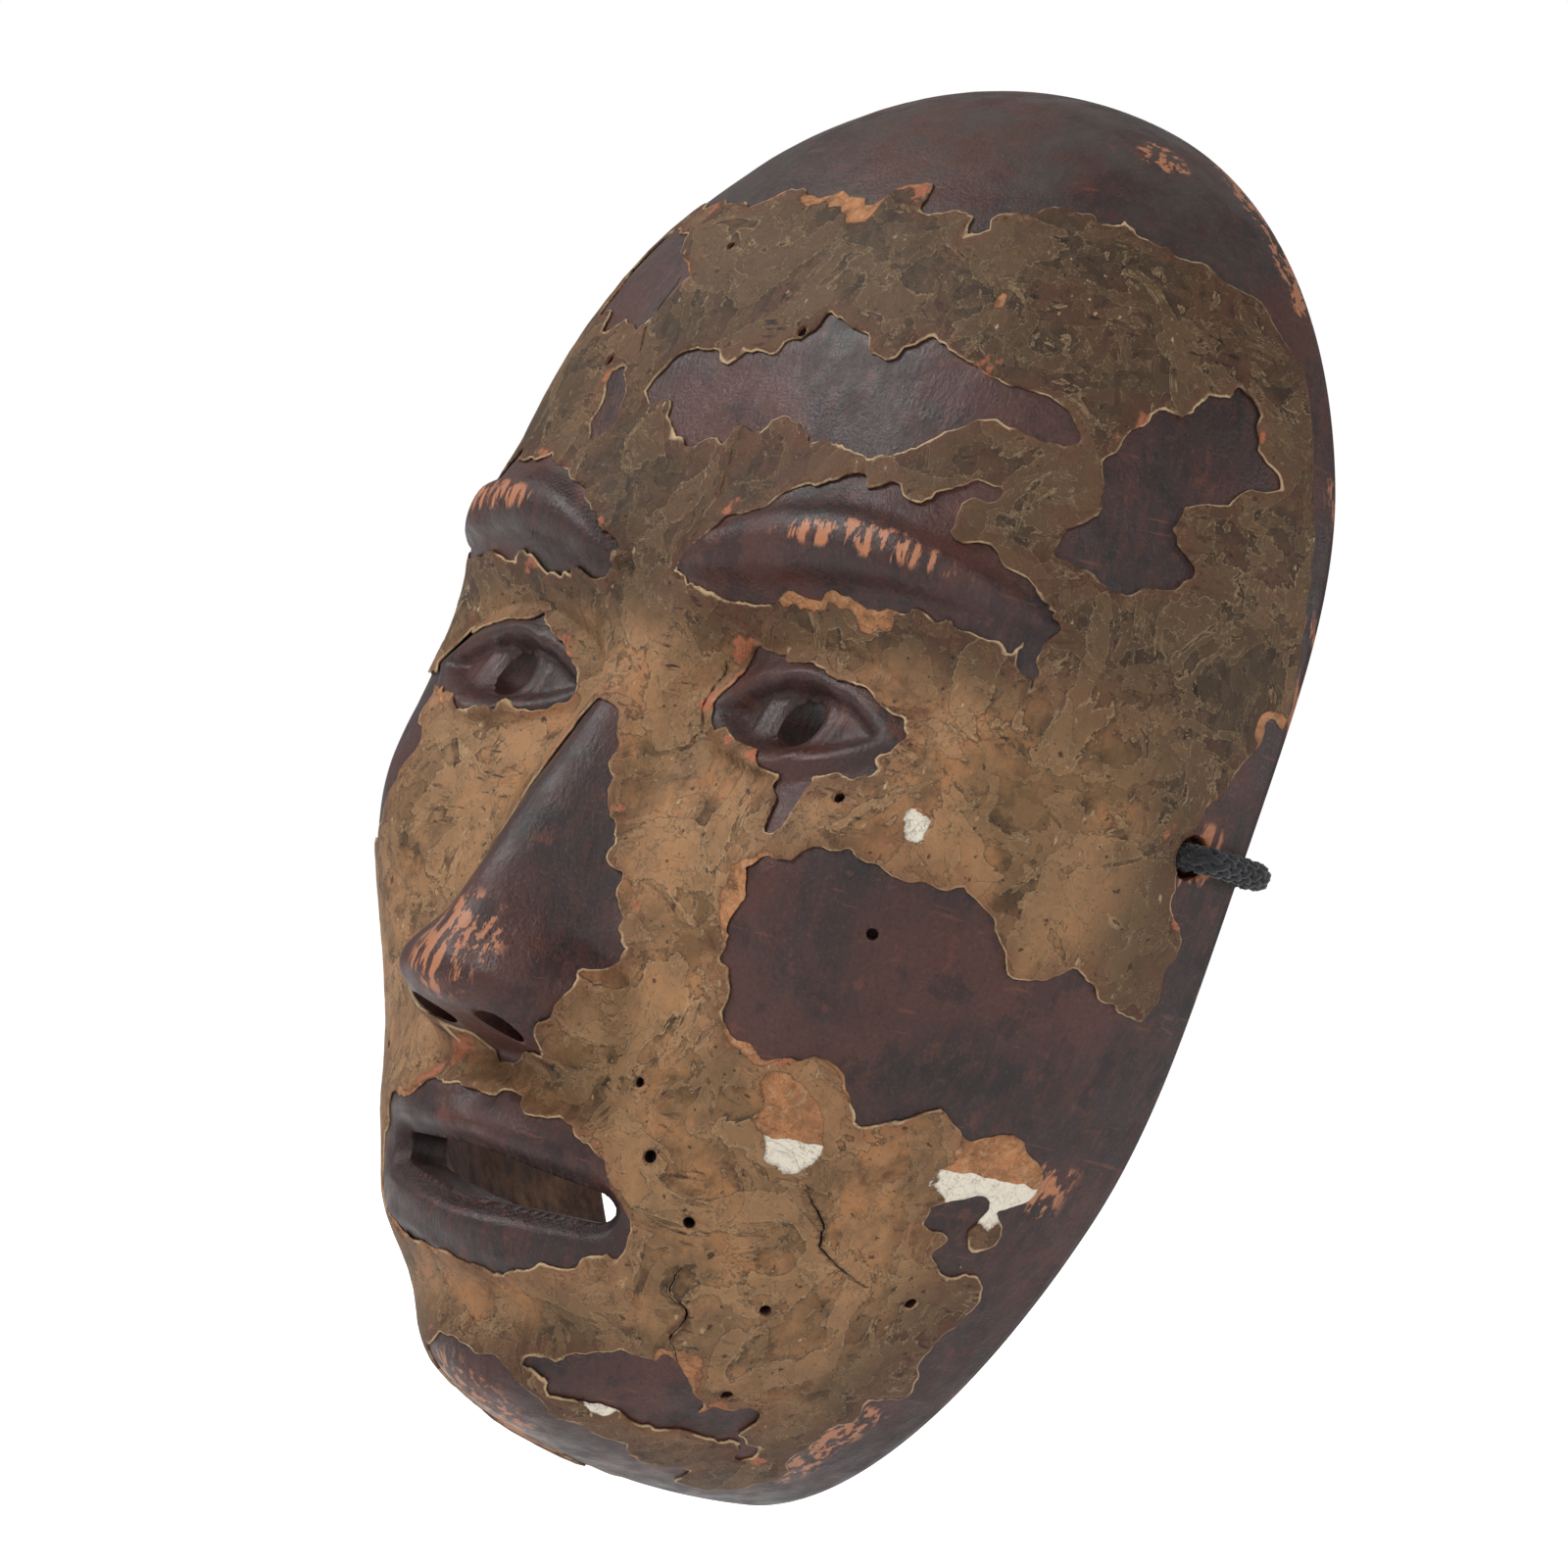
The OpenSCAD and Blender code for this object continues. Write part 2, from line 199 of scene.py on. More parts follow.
def relief(x, z):
    """The CAD shell's own relief in front of its plain section."""
    ax = np.abs(x)
    brow = 4.2 * bump((z - brow_line(ax)) / 5) * ease(2, 14, ax) * (1 - ease(44, 62, ax))
    socket = -9 * bump((ax - 30) / 15, (z - 7) / 9.5) - 3 * bump((ax - 14) / 5, (z - 6) / 7)
    ball = 5.5 * bump((ax - 30.5) / 10.5, (z - 4) / 6.5)
    under = ease(-47.5, -41.5, z + 0.012 * ax * ax)
    rise = 19 * (0.65 * np.clip((14 - z) / 50, 0, 1) + 0.35 * ease(14, -38, z))
    spread = 5.6 + 3 * ease(8, -34, z)
    nose = under * (rise * bump(ax / spread) * (1 - 0.5 * ease(-38, -48, z))
                    + 7.5 * bump((ax - 12.2) / 4.6, (z + 37.5) / 5.2))
    lips = (5 * bump(ax / 26, (z + 62) / 17) + 3 * bump(ax / 17, (z + 57.5) / 3.6)
            + 3.4 * bump(ax / 15, (z + 71.5) / 4) - bump(ax / 2.6, (z + 51) / 5))
    chin = 7.5 * bump(ax / 16, (z + 92) / 9) - 4 * bump(ax / 18, (z + 81) / 4.5)
    cheeks = (4.5 * bump((ax - 42) / 14, (z + 14) / 13) - 2.5 * bump((ax - 40) / 13, (z + 52) / 15)
              - 2.5 * bump((ax - 62) / 9, (z - 32) / 18) + 1.5 * bump((ax - 26) / 18, (z - 58) / 18))
    return brow + socket + ball + nose + lips + chin + cheeks


def carving(x, z):
    """The finer carving: brows, eyelids, iris, wings of the nose, borders of the lips."""
    ax = np.abs(x)
    brow = 1.5 * (1 - ease(0.75, 1.25, brow_gap(ax, z)))
    lid = lid_gap(ax, z)
    lids = 1.5 * bump((lid - 1.5) / 1.2) - 1.5 * (1 - ease(-1.3, 0.5, lid))
    crease = -0.8 * bump((lid - 5.6) / 0.9) * ease(4, 12, z + 2)
    from_pupil = np.hypot(ax - PUPIL[0], z - PUPIL[1])
    hole_edge = 0.9 * (1 - ease(PUPIL_R, PUPIL_R + 1.2, from_pupil))
    iris = 0.5 * bump((from_pupil - 7.0) / 0.5) - hole_edge
    wing = -1.1 * bump((np.hypot((ax - 12.5) / 1.1, z + 38) - 8.2) / 1.0) * ease(9, 14, ax)
    lip = mouth_gap(ax, z)
    rolled = -2.6 * (1 - ease(-0.5, 2.6, lip))
    border = 0.55 * bump((lip - 6.9 - 1.4 * bump(ax / 4)) / 0.7) * (1 - ease(18, 25, ax))
    corner = -1.5 * bump((ax - MOUTH_W / 2 - 1) / 2.6, (z - MOUTH_Z) / 2.6)
    return brow + lids + crease + iris + wing + rolled + border + corner


def hollow_relief(x, z):
    """How the hollow behind the face follows the nose, lips, eyes and chin."""
    ax = np.abs(x)
    return (10 * bump(ax / 8, (z + 27) / 12) + 5 * bump(ax / 24, (z + 62) / 16)
            - 2 * bump((ax - 30) / 17, (z - 6) / 12) - 4.5 * bump((ax - 15) / 8, (z - 7) / 10)
            + 3 * bump(ax / 15, (z + 88) / 9))


def front_point(s, t):
    """Points of the carved front at share s of the way from the pole to the rim."""
    ex, ez = outline(t)
    x, z = s * ex, POLE_Z + s * ez
    shape = relief(x, z) + carving(x, z)
    return np.stack([x, -(MASK_D * section(s, t) + shape * (1 - s ** 16) + scoop(t) * s ** 8), z], -1)


def back_point(s, t):
    """Points of the hollow's surface at share s of the way from the pole to the rim."""
    ex, ez = outline(t, WALL)
    x, z = s * ex, POLE_Z + s * ez
    depth = ((MASK_D - WALL - EXTRA_WALL) * section(s, t) + hollow_relief(x, z) * (1 - s ** 12)
             + scoop(t) * s ** 8)
    return np.stack([x, -depth, z], -1)


FACE_SHARE = 0.69     # the part of the grid that covers the face, before the side wall
FACE_S = 0.8          # where on the section the side wall begins


def disc_grid(n):
    """A square grid of n by n points wrapped into a disc: ring share s and angle t of each."""
    a, b = np.meshgrid(np.linspace(-1, 1, n), np.linspace(-1, 1, n), indexing="ij")
    wide = np.abs(a) > np.abs(b)
    with np.errstate(divide="ignore", invalid="ignore"):
        turn = np.where(wide, np.pi / 4 * b / a, np.pi / 2 - np.pi / 4 * a / b)
    turn = np.nan_to_num(turn)
    r = np.where(wide, a, b)
    t = np.where(r < 0, turn + np.pi, turn)
    r = np.abs(r)
    start = section(FACE_S, t)
    left = 1 - np.clip((r - FACE_SHARE) / (1 - FACE_SHARE), 0, 1)
    side_wall = (1 - (start * left) ** 2) ** (1 / fullness(t))
    s = np.where(r <= FACE_SHARE, FACE_S * r / FACE_SHARE, side_wall)
    return s, t


def grid_normals(p):
    """Outward unit normals of a grid of points on the front."""
    n = np.cross(np.gradient(p, axis=1), np.gradient(p, axis=0))
    n /= np.linalg.norm(n, axis=-1, keepdims=True) + 1e-12
    return n if n[n.shape[0] // 2, n.shape[1] // 2, 1] < 0 else -n


# ---- mesh helpers

def add_object(name, data):
    obj = bpy.data.objects.new(name, data)
    bpy.context.scene.collection.objects.link(obj)
    return obj


def make_mesh(name, verts, faces, attributes=None, smooth=True):
    """A mesh object from points in millimetres, with float attributes on its points."""
    mesh = bpy.data.meshes.new(name)
    mesh.from_pydata((np.asarray(verts) * MM).tolist(), [], faces)
    for key, values in (attributes or {}).items():
        layer = mesh.attributes.new(key, "FLOAT", "POINT")
        layer.data.foreach_set("value", np.asarray(values, np.float32))
    mesh.update()
    if smooth:
        mesh.polygons.foreach_set("use_smooth", np.ones(len(mesh.polygons), bool))
    return add_object(name, mesh)


def grid_faces(n, first=0, flip=False):
    """The quads of an n by n grid whose points start at index first."""
    i, j = np.meshgrid(np.arange(n - 1), np.arange(n - 1), indexing="ij")
    a = first + i * n + j
    quads = np.stack([a, a + 1, a + n + 1, a + n], -1).reshape(-1, 4)
    return quads[:, ::-1] if flip else quads


def edge_loop(n):
    """The indices round the edge of an n by n grid, in order."""
    k = np.arange(n - 1)
    return np.concatenate([k, (k * n) + n - 1, (n * n - 1) - k, (n - 1 - k) * n])


def apply_modifiers(obj):
    """Makes the mesh that obj's modifiers give its own."""
    evaluated = obj.evaluated_get(bpy.context.evaluated_depsgraph_get())
    mesh = bpy.data.meshes.new_from_object(evaluated)
    obj.modifiers.clear()
    obj.data = mesh


def cut(obj, cutter):
    """Takes the cutter's shapes out of obj."""
    modifier = obj.modifiers.new("cut", "BOOLEAN")
    modifier.operation = "DIFFERENCE"
    modifier.solver = "MANIFOLD"
    modifier.object = cutter
    apply_modifiers(obj)


def join_cutters(name, parts):
    """One cutter mesh from several closed shapes that stay apart."""
    verts, faces = [], []
    for part_verts, part_faces in parts:
        offset = len(verts)
        verts.extend(part_verts)
        faces.extend([[offset + k for k in face] for face in part_faces])
    return make_mesh(name, verts, faces, smooth=False)


def prism_faces(sides):
    """The faces of a closed prism whose points are those of one end, then of the other."""
    walls = [[k, (k + 1) % sides, sides + (k + 1) % sides, sides + k] for k in range(sides)]
    return walls + [list(range(sides))[::-1], list(range(sides, 2 * sides))]


def rod(start, end, radius, sides=28):
    """A closed cylinder from one point to another, as points and faces."""
    start, end = np.array(start, float), np.array(end, float)
    along = (end - start) / np.linalg.norm(end - start)
    across = np.cross(along, [0, 0, 1] if abs(along[2]) < 0.9 else [1, 0, 0])
    across /= np.linalg.norm(across)
    other = np.cross(along, across)
    turns = np.linspace(0, 2 * np.pi, sides, endpoint=False)
    ring = radius * (np.outer(np.cos(turns), across) + np.outer(np.sin(turns), other))
    return np.concatenate([start + ring, end + ring]).tolist(), prism_faces(sides)


# ---- the camera

PHOTO_AZIMUTH = 46.0
PHOTO_ELEVATION = -3.0
PHOTO_ROLL = 14.0
LENS = 85.0
CAMERA_DISTANCE = 0.522
CAMERA_AIM = Vector((0.0055, -0.030, 0.0035))
FRAMING = (0.0011, -0.0055)     # how far the camera stands right of and above the aim, in metres


def add_camera():
    """The photograph's view: from the mask's left and a little below, with the camera rolled."""
    a, e = math.radians(PHOTO_AZIMUTH), math.radians(PHOTO_ELEVATION)
    back = Vector((math.sin(a) * math.cos(e), -math.cos(a) * math.cos(e), math.sin(e)))
    data = bpy.data.cameras.new("camera")
    data.lens = LENS
    camera = add_object("camera", data)
    camera.location = CAMERA_AIM + back * CAMERA_DISTANCE
    level = (-back).to_track_quat("-Z", "Y").to_matrix().to_4x4()
    roll = Matrix.Rotation(math.radians(PHOTO_ROLL), 4, "Z")
    turned = level @ roll
    camera.rotation_euler = turned.to_euler()
    camera.location += turned.to_3x3() @ Vector((*FRAMING, 0))
    bpy.context.scene.camera = camera


add_camera()


# ---- wood

GRID_N = 281
# How far knife marks and facets stand out on the front, and how deep the gouge cut inside
GRAIN_RELIEF = 0.22
FACET_RELIEF = 0.10
GOUGE_DEPTH = 0.85
# How far each hole's cutter reaches, in millimetres along y, along its own axis or along x
MOUTH_CUT_Y = (-90, -20)
EYE_CUT_Y = (-80, -20)
NOSTRIL_START_Y = -70
NOSTRIL_CUT = (-8, 26)
EAR_CUT_X = (50, 90)


def build_shell():
    """The carved shell: a front grid, a back grid, and the flat rim between them."""
    s, t = disc_grid(GRID_N)
    rim = 1 - s.ravel() ** 24
    front = front_point(s, t)
    normals = grid_normals(front).reshape(-1, 3)
    front = front.reshape(-1, 3)
    wood_noise = fbm(front * [1, 1, 0.25], 9, SEED, 4)
    facets = value_noise(front, 5.5, SEED + 5)
    smooth_lips = ease(0, 4, mouth_gap(np.abs(front[:, 0]), front[:, 2]))
    knife_marks = GRAIN_RELIEF * wood_noise + FACET_RELIEF * facets
    front += normals * (knife_marks * rim * smooth_lips)[:, None]
    back = back_point(s, t).reshape(-1, 3)
    scooped = gouge_marks(back) * rim
    back[:, 1] -= GOUGE_DEPTH * scooped
    verts = np.concatenate([front, back])
    faces = grid_faces(GRID_N).tolist() + grid_faces(GRID_N, len(front), flip=True).tolist()
    outer = edge_loop(GRID_N)
    inner = outer + len(front)
    for k in range(len(outer)):
        after = (k + 1) % len(outer)
        faces.append([outer[k], inner[k], inner[after], outer[after]])
    inside = np.concatenate([np.zeros(len(front)), np.ones(len(back))])
    # Where the painted highlight goes inside: the crests between the gouge cuts
    crest_highlight = np.concatenate([np.zeros(len(front)), ease(0.3, 0.05, scooped) * ease(0, 0.2, rim)])
    shell = make_mesh("carved_shell", verts, faces, {"inside": inside, "crest_highlight": crest_highlight})
    face_outwards(shell)
    return shell


def gouge_marks(back):
    """How deep the scooped cuts of the gouge are at points inside, from 0 to 1, in rows."""
    x, z = back[:, 0], back[:, 2]
    place = x / 7.0 + 0.25 * np.sin(z / 17)
    row = np.floor(place).astype(np.int64)
    across = place - row - 0.5
    shift = hashed(row, row * 0, row * 0, 3)
    along = (z / 15.0 + shift * 3) % 1.0
    return (0.25 - across ** 2) * 4 * (0.35 + 0.65 * along)


def face_outwards(obj):
    """Turns every face of a closed mesh outwards."""
    bm = bmesh.new()
    bm.from_mesh(obj.data)
    bmesh.ops.recalc_face_normals(bm, faces=bm.faces)
    bm.to_mesh(obj.data)
    bm.free()
    obj.data.update()


def mouth_cutter():
    """A lens-shaped prism through the lips."""
    half = MOUTH_W / 2 - MOUTH_END_R
    turns = np.linspace(0, np.pi, 15)
    end = [(half + MOUTH_END_R * math.sin(a), MOUTH_END_R * math.cos(a)) for a in turns]
    lower = [(x, -MOUTH_H / 2 * (1 - MOUTH_TAPER * abs(x) / half))
             for x in np.linspace(half, -half, 17)[1:-1]]
    loop = end + lower
    loop += [(-x, -z) for x, z in loop]
    verts = [[x, y, MOUTH_Z + z] for y in MOUTH_CUT_Y for x, z in loop]
    return verts, prism_faces(len(loop))


def hole_cutters():
    """The gap between the lips, and the eye, nostril and ear holes, as points and faces."""
    parts = [mouth_cutter()]
    tilt = math.radians(NOSTRIL_TILT)
    along = np.array([0, math.sin(tilt), math.cos(tilt)])
    for side in (-1, 1):
        eye = [(side * PUPIL[0], y, PUPIL[1]) for y in EYE_CUT_Y]
        parts.append(rod(*eye, PUPIL_R, 40))
        base = np.array([side * NOSTRIL[0], NOSTRIL_START_Y, NOSTRIL[1]])
        nostril = [base + reach * along for reach in NOSTRIL_CUT]
        parts.append(rod(*nostril, NOSTRIL_R, 32))
        ear = [(side * x, -EAR_D, 0) for x in EAR_CUT_X]
        parts.append(rod(*ear, EAR_R, 32))
    return parts


# ---- paint

PAINT_N = 381
CHIP_SEEDS = 7000
PLATE_SEEDS = 1300
# How high the edges of flakes lift, and how far in from the edge it fades
PEEL_HEIGHT = 0.42
PEEL_REACH = 1.1
# Where the paint has come off and its ground is left: x, z, radius, and 0 for buff to 1 for white
GROUND_CHIPS = [(42, -46, 3.2, 0.1), (57, -48, 4.4, 0.6), (64, -54, 3.4, 0.1), (54, -4, 2, 0.6),
                (50, -73, 3, 1.0), (-47, -44, 4, 0.3), (-60, 12, 4, 0.1), (-22, 62, 2.5, 0.2),
                (38, 66, 1.5, 0.0), (18, -88, 1.5, 0.0), (-30, -80, 3, 0.2)]
# Where paint and ground have both gone: x, z, half width, half height, and how surely
PAINT_LOSSES = [(50, -25, 17, 12, 2.8), (66, -34, 9, 10, 2.2), (-52, -12, 12, 15, 2.4),
                (4, -96, 11, 8, 2.2), (20, 50, 30, 6, 2.6), (-30, 66, 13, 7, 2.0),
                (60, 46, 8, 17, 1.8), (22, -86, 10, 4, 1.6), (56, -62, 6, 9, 1.6)]
# Small upright losses, as x and z
SMALL_LOSSES = [(46, 34), (61, 18), (56, -6), (35, -8), (-44, 30), (-22, 44), (30, 72)]


def patch(x, z, x0, z0, half_x, half_z):
    """1 inside an oval patch and 0 outside it, with a soft edge."""
    return ease(1.2, 0.8, np.hypot((x - x0) / half_x, (z - z0) / half_z))


def paint_score(p):
    """How firmly the paint holds at points p: above 0 it is still there."""
    x, z, depth = p[:, 0], p[:, 2], -p[:, 1]
    ax = np.abs(x)
    score = 0.9 + 0.8 * fbm(p, 34, SEED + 40, 3) + 0.9 * fbm(p, 12, SEED + 44, 3)
    rim_band = 13 + 6 * fbm(p, 22, SEED + 41, 3) + 6 * ease(60, 100, z)
    rim_band -= 11 * ease(10, 25, z) * ease(78, 66, z) * ease(0, 20, x)
    score -= 3 * ease(rim_band + 3, rim_band - 2, depth)
    score -= 2.4 * ease(74, 88, z + 5 * fbm(p, 16, SEED + 42, 3))
    score -= 2.6 * ease(1.9, 1.1, brow_gap(ax, z))
    nose = np.hypot(ax / (5.5 + 9 * ease(0, -32, z)), np.maximum(0, np.abs(z + 22) - 12) / 12)
    score -= 2.6 * ease(1.25, 0.85, nose)
    score -= 2.4 * ease(3.4, 2.2, lid_gap(ax, z))
    score -= 2.4 * ease(1.1, 0.85, np.hypot(ax / 27, (z + 64) / 11))
    x = x + 9 * fbm(p, 17, SEED + 45, 4)
    z = z + 9 * fbm(p, 17, SEED + 46, 4)
    for x0, z0, half_x, half_z, strength in PAINT_LOSSES:
        score -= strength * patch(x, z, x0, z0, half_x, half_z)
    for x0, z0 in SMALL_LOSSES:
        score -= 3 * patch(x, z, x0, z0, 2.2, 5)
    return score


def nearest(points, centres):
    """The distance from each point to the nearest centre."""
    tree = kdtree.KDTree(len(centres))
    for k, centre in enumerate(centres):
        tree.insert(centre, k)
    tree.balance()
    return np.array([tree.find(p)[2] for p in points])


def flake_field(points, surface, seeds, spread):
    """How far points lie inside the paint that is kept, in millimetres, where it breaks up into
    random cells. spread is how much chance there is in which cells are lost."""
    random = np.random.default_rng(SEED + seeds)
    pick = random.choice(len(surface), seeds, replace=False)
    centres = surface[pick] + random.normal(0, 0.4, (seeds, 3))
    kept = paint_score(centres) + spread * (random.random(seeds) - 0.5) > 0
    lost_gap = nearest(points, centres[~kept])
    kept_gap = nearest(points, centres[kept])
    return (lost_gap - kept_gap) / 2


def ground_field(p, edge):
    """Distance inside the bare ground, in millimetres, in chosen patches and strips along edges,
    and how white the ground is there."""
    wobble = 3.2 * fbm(p, 9, SEED + 60, 4)
    best = 2.6 * ease(0.12, 0.6, fbm(p, 19, SEED + 61, 3)) - 1.0 - edge
    white = np.zeros(len(p))
    for x, z, radius, whiteness in GROUND_CHIPS:
        gap = radius - np.hypot(1.35 * (p[:, 0] - x), 0.7 * (p[:, 2] - z))
        split = ease(-0.3, 0.3, (z - p[:, 2]) / radius + 2 * whiteness - 1 + 0.12 * wobble)
        white = np.where(gap > -3, split, white)
        best = np.maximum(best, gap + wobble)
    return best, white


def clip_grid(n, rows, field):
    """Cuts an n by n grid where field is below 0. Returns the rows of the points kept, faces, and
    the cut edges as pairs of points."""
    field = field.reshape(n, n)
    index = np.arange(n * n).reshape(n, n)
    inside = field > 0
    extra, made = [], {}

    def crossing(a, b):
        """The point on the line from a to b where field passes 0."""
        key = (a, b) if a < b else (b, a)
        if key not in made:
            fa, fb = field.flat[key[0]], field.flat[key[1]]
            share = min(0.93, max(0.07, fa / (fa - fb)))
            made[key] = n * n + len(extra)
            extra.append(rows[key[0]] * (1 - share) + rows[key[1]] * share)
        return made[key]

    corners = np.stack([index[:-1, :-1], index[:-1, 1:], index[1:, 1:], index[1:, :-1]], -1)
    count = inside.flat[corners].sum(-1)
    faces = corners[count == 4].tolist()
    cut_edges = []
    for ring in corners[(count > 0) & (count < 4)].tolist():
        polygon, crossed = [], []
        for k in range(4):
            a, b = ring[k], ring[(k + 1) % 4]
            if inside.flat[a]:
                polygon.append(a)
            if inside.flat[a] != inside.flat[b]:
                point = crossing(a, b)
                if crossed and not inside.flat[a]:
                    cut_edges.append((crossed[-1], point))
                elif not inside.flat[a]:
                    first = point
                crossed.append(point)
                polygon.append(point)
        if not inside.flat[ring[0]]:
            cut_edges.append((crossed[-1], first))
        faces.append(polygon)
    rows = np.concatenate([rows, np.array(extra)])
    used = np.unique(np.concatenate([np.array(f) for f in faces]))
    remap = np.full(len(rows), -1)
    remap[used] = np.arange(len(used))
    faces = [remap[f].tolist() for f in faces]
    return rows[used], faces, [(remap[a], remap[b]) for a, b in cut_edges]


def lightness(p):
    """How light the paint is: darker above the brows, at the jaw and towards the rim, lighter on the
    cheeks, with broad random changes.
    """
    z, depth = p[:, 2], -p[:, 1]
    light = ease(26, 2, z) * ease(14, 34, depth) * ease(-96, -66, z)
    return np.clip(light + 0.55 * fbm(p, 26, SEED + 85, 3), 0, 1)


def build_paint():
    """The paint and its ground as one thin closed shell, in flakes, lifted where it peels."""
    s, t = disc_grid(PAINT_N)
    base = front_point(s, t)
    normals = grid_normals(base).reshape(-1, 3)
    base, s = base.reshape(-1, 3), s.ravel()
    warp = np.stack([fbm(base, 4, SEED + 70 + k, 4) for k in range(3)], -1)
    warped = base + 1.2 * warp
    chips = flake_field(warped, base, CHIP_SEEDS, 0.5)
    plates = flake_field(warped, base, PLATE_SEEDS, 0.4)
    smooth = np.clip(2.2 * paint_score(warped), -3, 3)
    field = 0.45 * chips + 0.5 * np.clip(plates, -4, 4) + 0.2 * smooth
    ground, white = ground_field(warped, field)
    field = np.where(-base[:, 1] < 5, -1.0, field)
    field = np.minimum(field, lid_gap(np.abs(base[:, 0]), base[:, 2]) - 0.6)
    field = np.minimum(field, mouth_gap(np.abs(base[:, 0]), base[:, 2]) - 1.5)
    columns = np.stack([field, ground, white], -1)
    rows = np.concatenate([base, normals, columns], 1)
    rows, faces, cut_edges = clip_grid(PAINT_N, rows, field)
    points, normals = rows[:, :3], rows[:, 3:6]
    normals /= np.linalg.norm(normals, axis=1, keepdims=True)
    edge, ground, white = rows[:, 6:].T
    near_edge = np.exp(-np.clip(edge, 0, 9) / PEEL_REACH)
    peel = PEEL_HEIGHT * np.clip(value_noise(points, 11, SEED + 80), 0, 1) * near_edge
    thick = PAINT_T * (0.62 + 0.38 * ease(0, 0.9, edge)) - 0.3 * ease(-0.15, 0.35, ground)
    low = points + normals * (0.03 + peel)[:, None]
    skin = 0.07 * fbm(points, 2.4, SEED + 81, 3) * ease(0, 1, edge)
    high = low + normals * (thick + skin)[:, None]
    count = len(points)
    sides = [[a, b, b + count, a + count] for a, b in cut_edges]
    under = [[k + count for k in face[::-1]] for face in faces]
    paint = make_mesh("paint_flakes", np.concatenate([high, low]), faces + under + sides, {
        "edge": np.concatenate([edge, edge * 0]),
        "ground": np.concatenate([ground, ground]),
        "white": np.concatenate([white, white]),
        "light": np.concatenate([lightness(points)] * 2),
        "under": np.concatenate([np.zeros(count), np.ones(count)]),
    })
    face_outwards(paint)
    return paint


# ---- worm holes and cracks

# Each worm hole as x, z and radius
WORM_HOLES = [(28, -55, 0.9), (33, -62, 0.8), (47, -66, 1.0), (38, -71, 0.8), (52, -20, 0.8),
              (24, -46, 0.7), (44, -4, 0.8), (-33, -51, 0.9), (-41, -60, 0.8),
              (-26, 52, 0.9), (12, 58, 0.8), (-12, 71, 0.8), (-54, 22, 0.8), (30, -84, 0.9)]
# Each crack is a line of points on the front, as x and z
CRACKS = [
    [(32, -68), (30.5, -71), (31.5, -74), (28.5, -78), (28, -81)],
    [(44, -54), (45, -58), (44, -61), (45.5, -65)],
    [(13, 12), (12, 7), (13.5, 2), (12.5, -2)],
    [(8, 40), (9, 34), (7.5, 30)],
    [(-30, -78), (-33, -73), (-32, -69), (-36, -63)],
    [(-20, 66), (-21, 58), (-19, 53)],
]


def front_at(x, z):
    """The point of the front straight ahead of x, z."""
    turns = np.linspace(-math.pi, math.pi, 2881)
    edge_x, edge_z = outline(turns)
    angle = np.unwrap(np.arctan2(edge_z, edge_x))
    wanted = (math.atan2(z - POLE_Z, x) - angle[0]) % (2 * math.pi) + angle[0]
    t = np.interp(wanted, angle, turns)
    reach_x, reach_z = outline(t)
    s = min(0.999, math.hypot(x, z - POLE_Z) / math.hypot(reach_x, reach_z))
    return front_point(np.array(s), np.array(t))


def surface_at(x, z, step=0.4):
    """The point of the front straight ahead of x, z, and the normal there."""
    right = front_at(x + step, z) - front_at(x - step, z)
    above = front_at(x, z + step) - front_at(x, z - step)
    normal = np.cross(right, above)
    normal /= np.linalg.norm(normal)
    return front_at(x, z), normal if normal[1] < 0 else -normal


def worm_parts():
    """A short rod into the wood for each worm hole."""
    parts = []
    for x, z, radius in WORM_HOLES:
        here, normal = surface_at(x, z)
        parts.append(rod(here + normal * 2, here - normal * 3.2, radius, 14))
    return parts


def crack_part(line, width=0.34, deep=1.3):
    """A wedge along a line on the front, thin at both ends."""
    path = []
    for (x0, z0), (x1, z1) in zip(line, line[1:]):
        for k in range(5):
            path.append((x0 + (x1 - x0) * k / 5, z0 + (z1 - z0) * k / 5))
    path.append(line[-1])
    random = np.random.default_rng(len(line) + int(abs(line[0][0])))
    verts, faces = [], []
    for k, (x, z) in enumerate(path):
        here, normal = surface_at(x, z)
        ahead = np.array(path[min(k + 1, len(path) - 1)]) - np.array(path[max(k - 1, 0)])
        along = np.array([ahead[0], 0, ahead[1]])
        across = np.cross(normal, along)
        across /= np.linalg.norm(across)
        half = width * (0.25 + 0.75 * math.sin(math.pi * (k + 0.5) / (len(path) + 0.5))) / 2
        here = here + across * random.normal(0, 0.14)
        verts += [here + normal * 1.6 + across * half * 2, here + normal * 1.6 - across * half * 2,
                  here - normal * deep]
    for k in range(len(path) - 1):
        a = 3 * k
        faces += [[a, a + 3, a + 4, a + 1], [a + 1, a + 4, a + 5, a + 2], [a + 2, a + 5, a + 3, a]]
    last = 3 * (len(path) - 1)
    return [v.tolist() for v in verts], faces + [[0, 1, 2], [last + 2, last + 1, last]]


# ---- materials

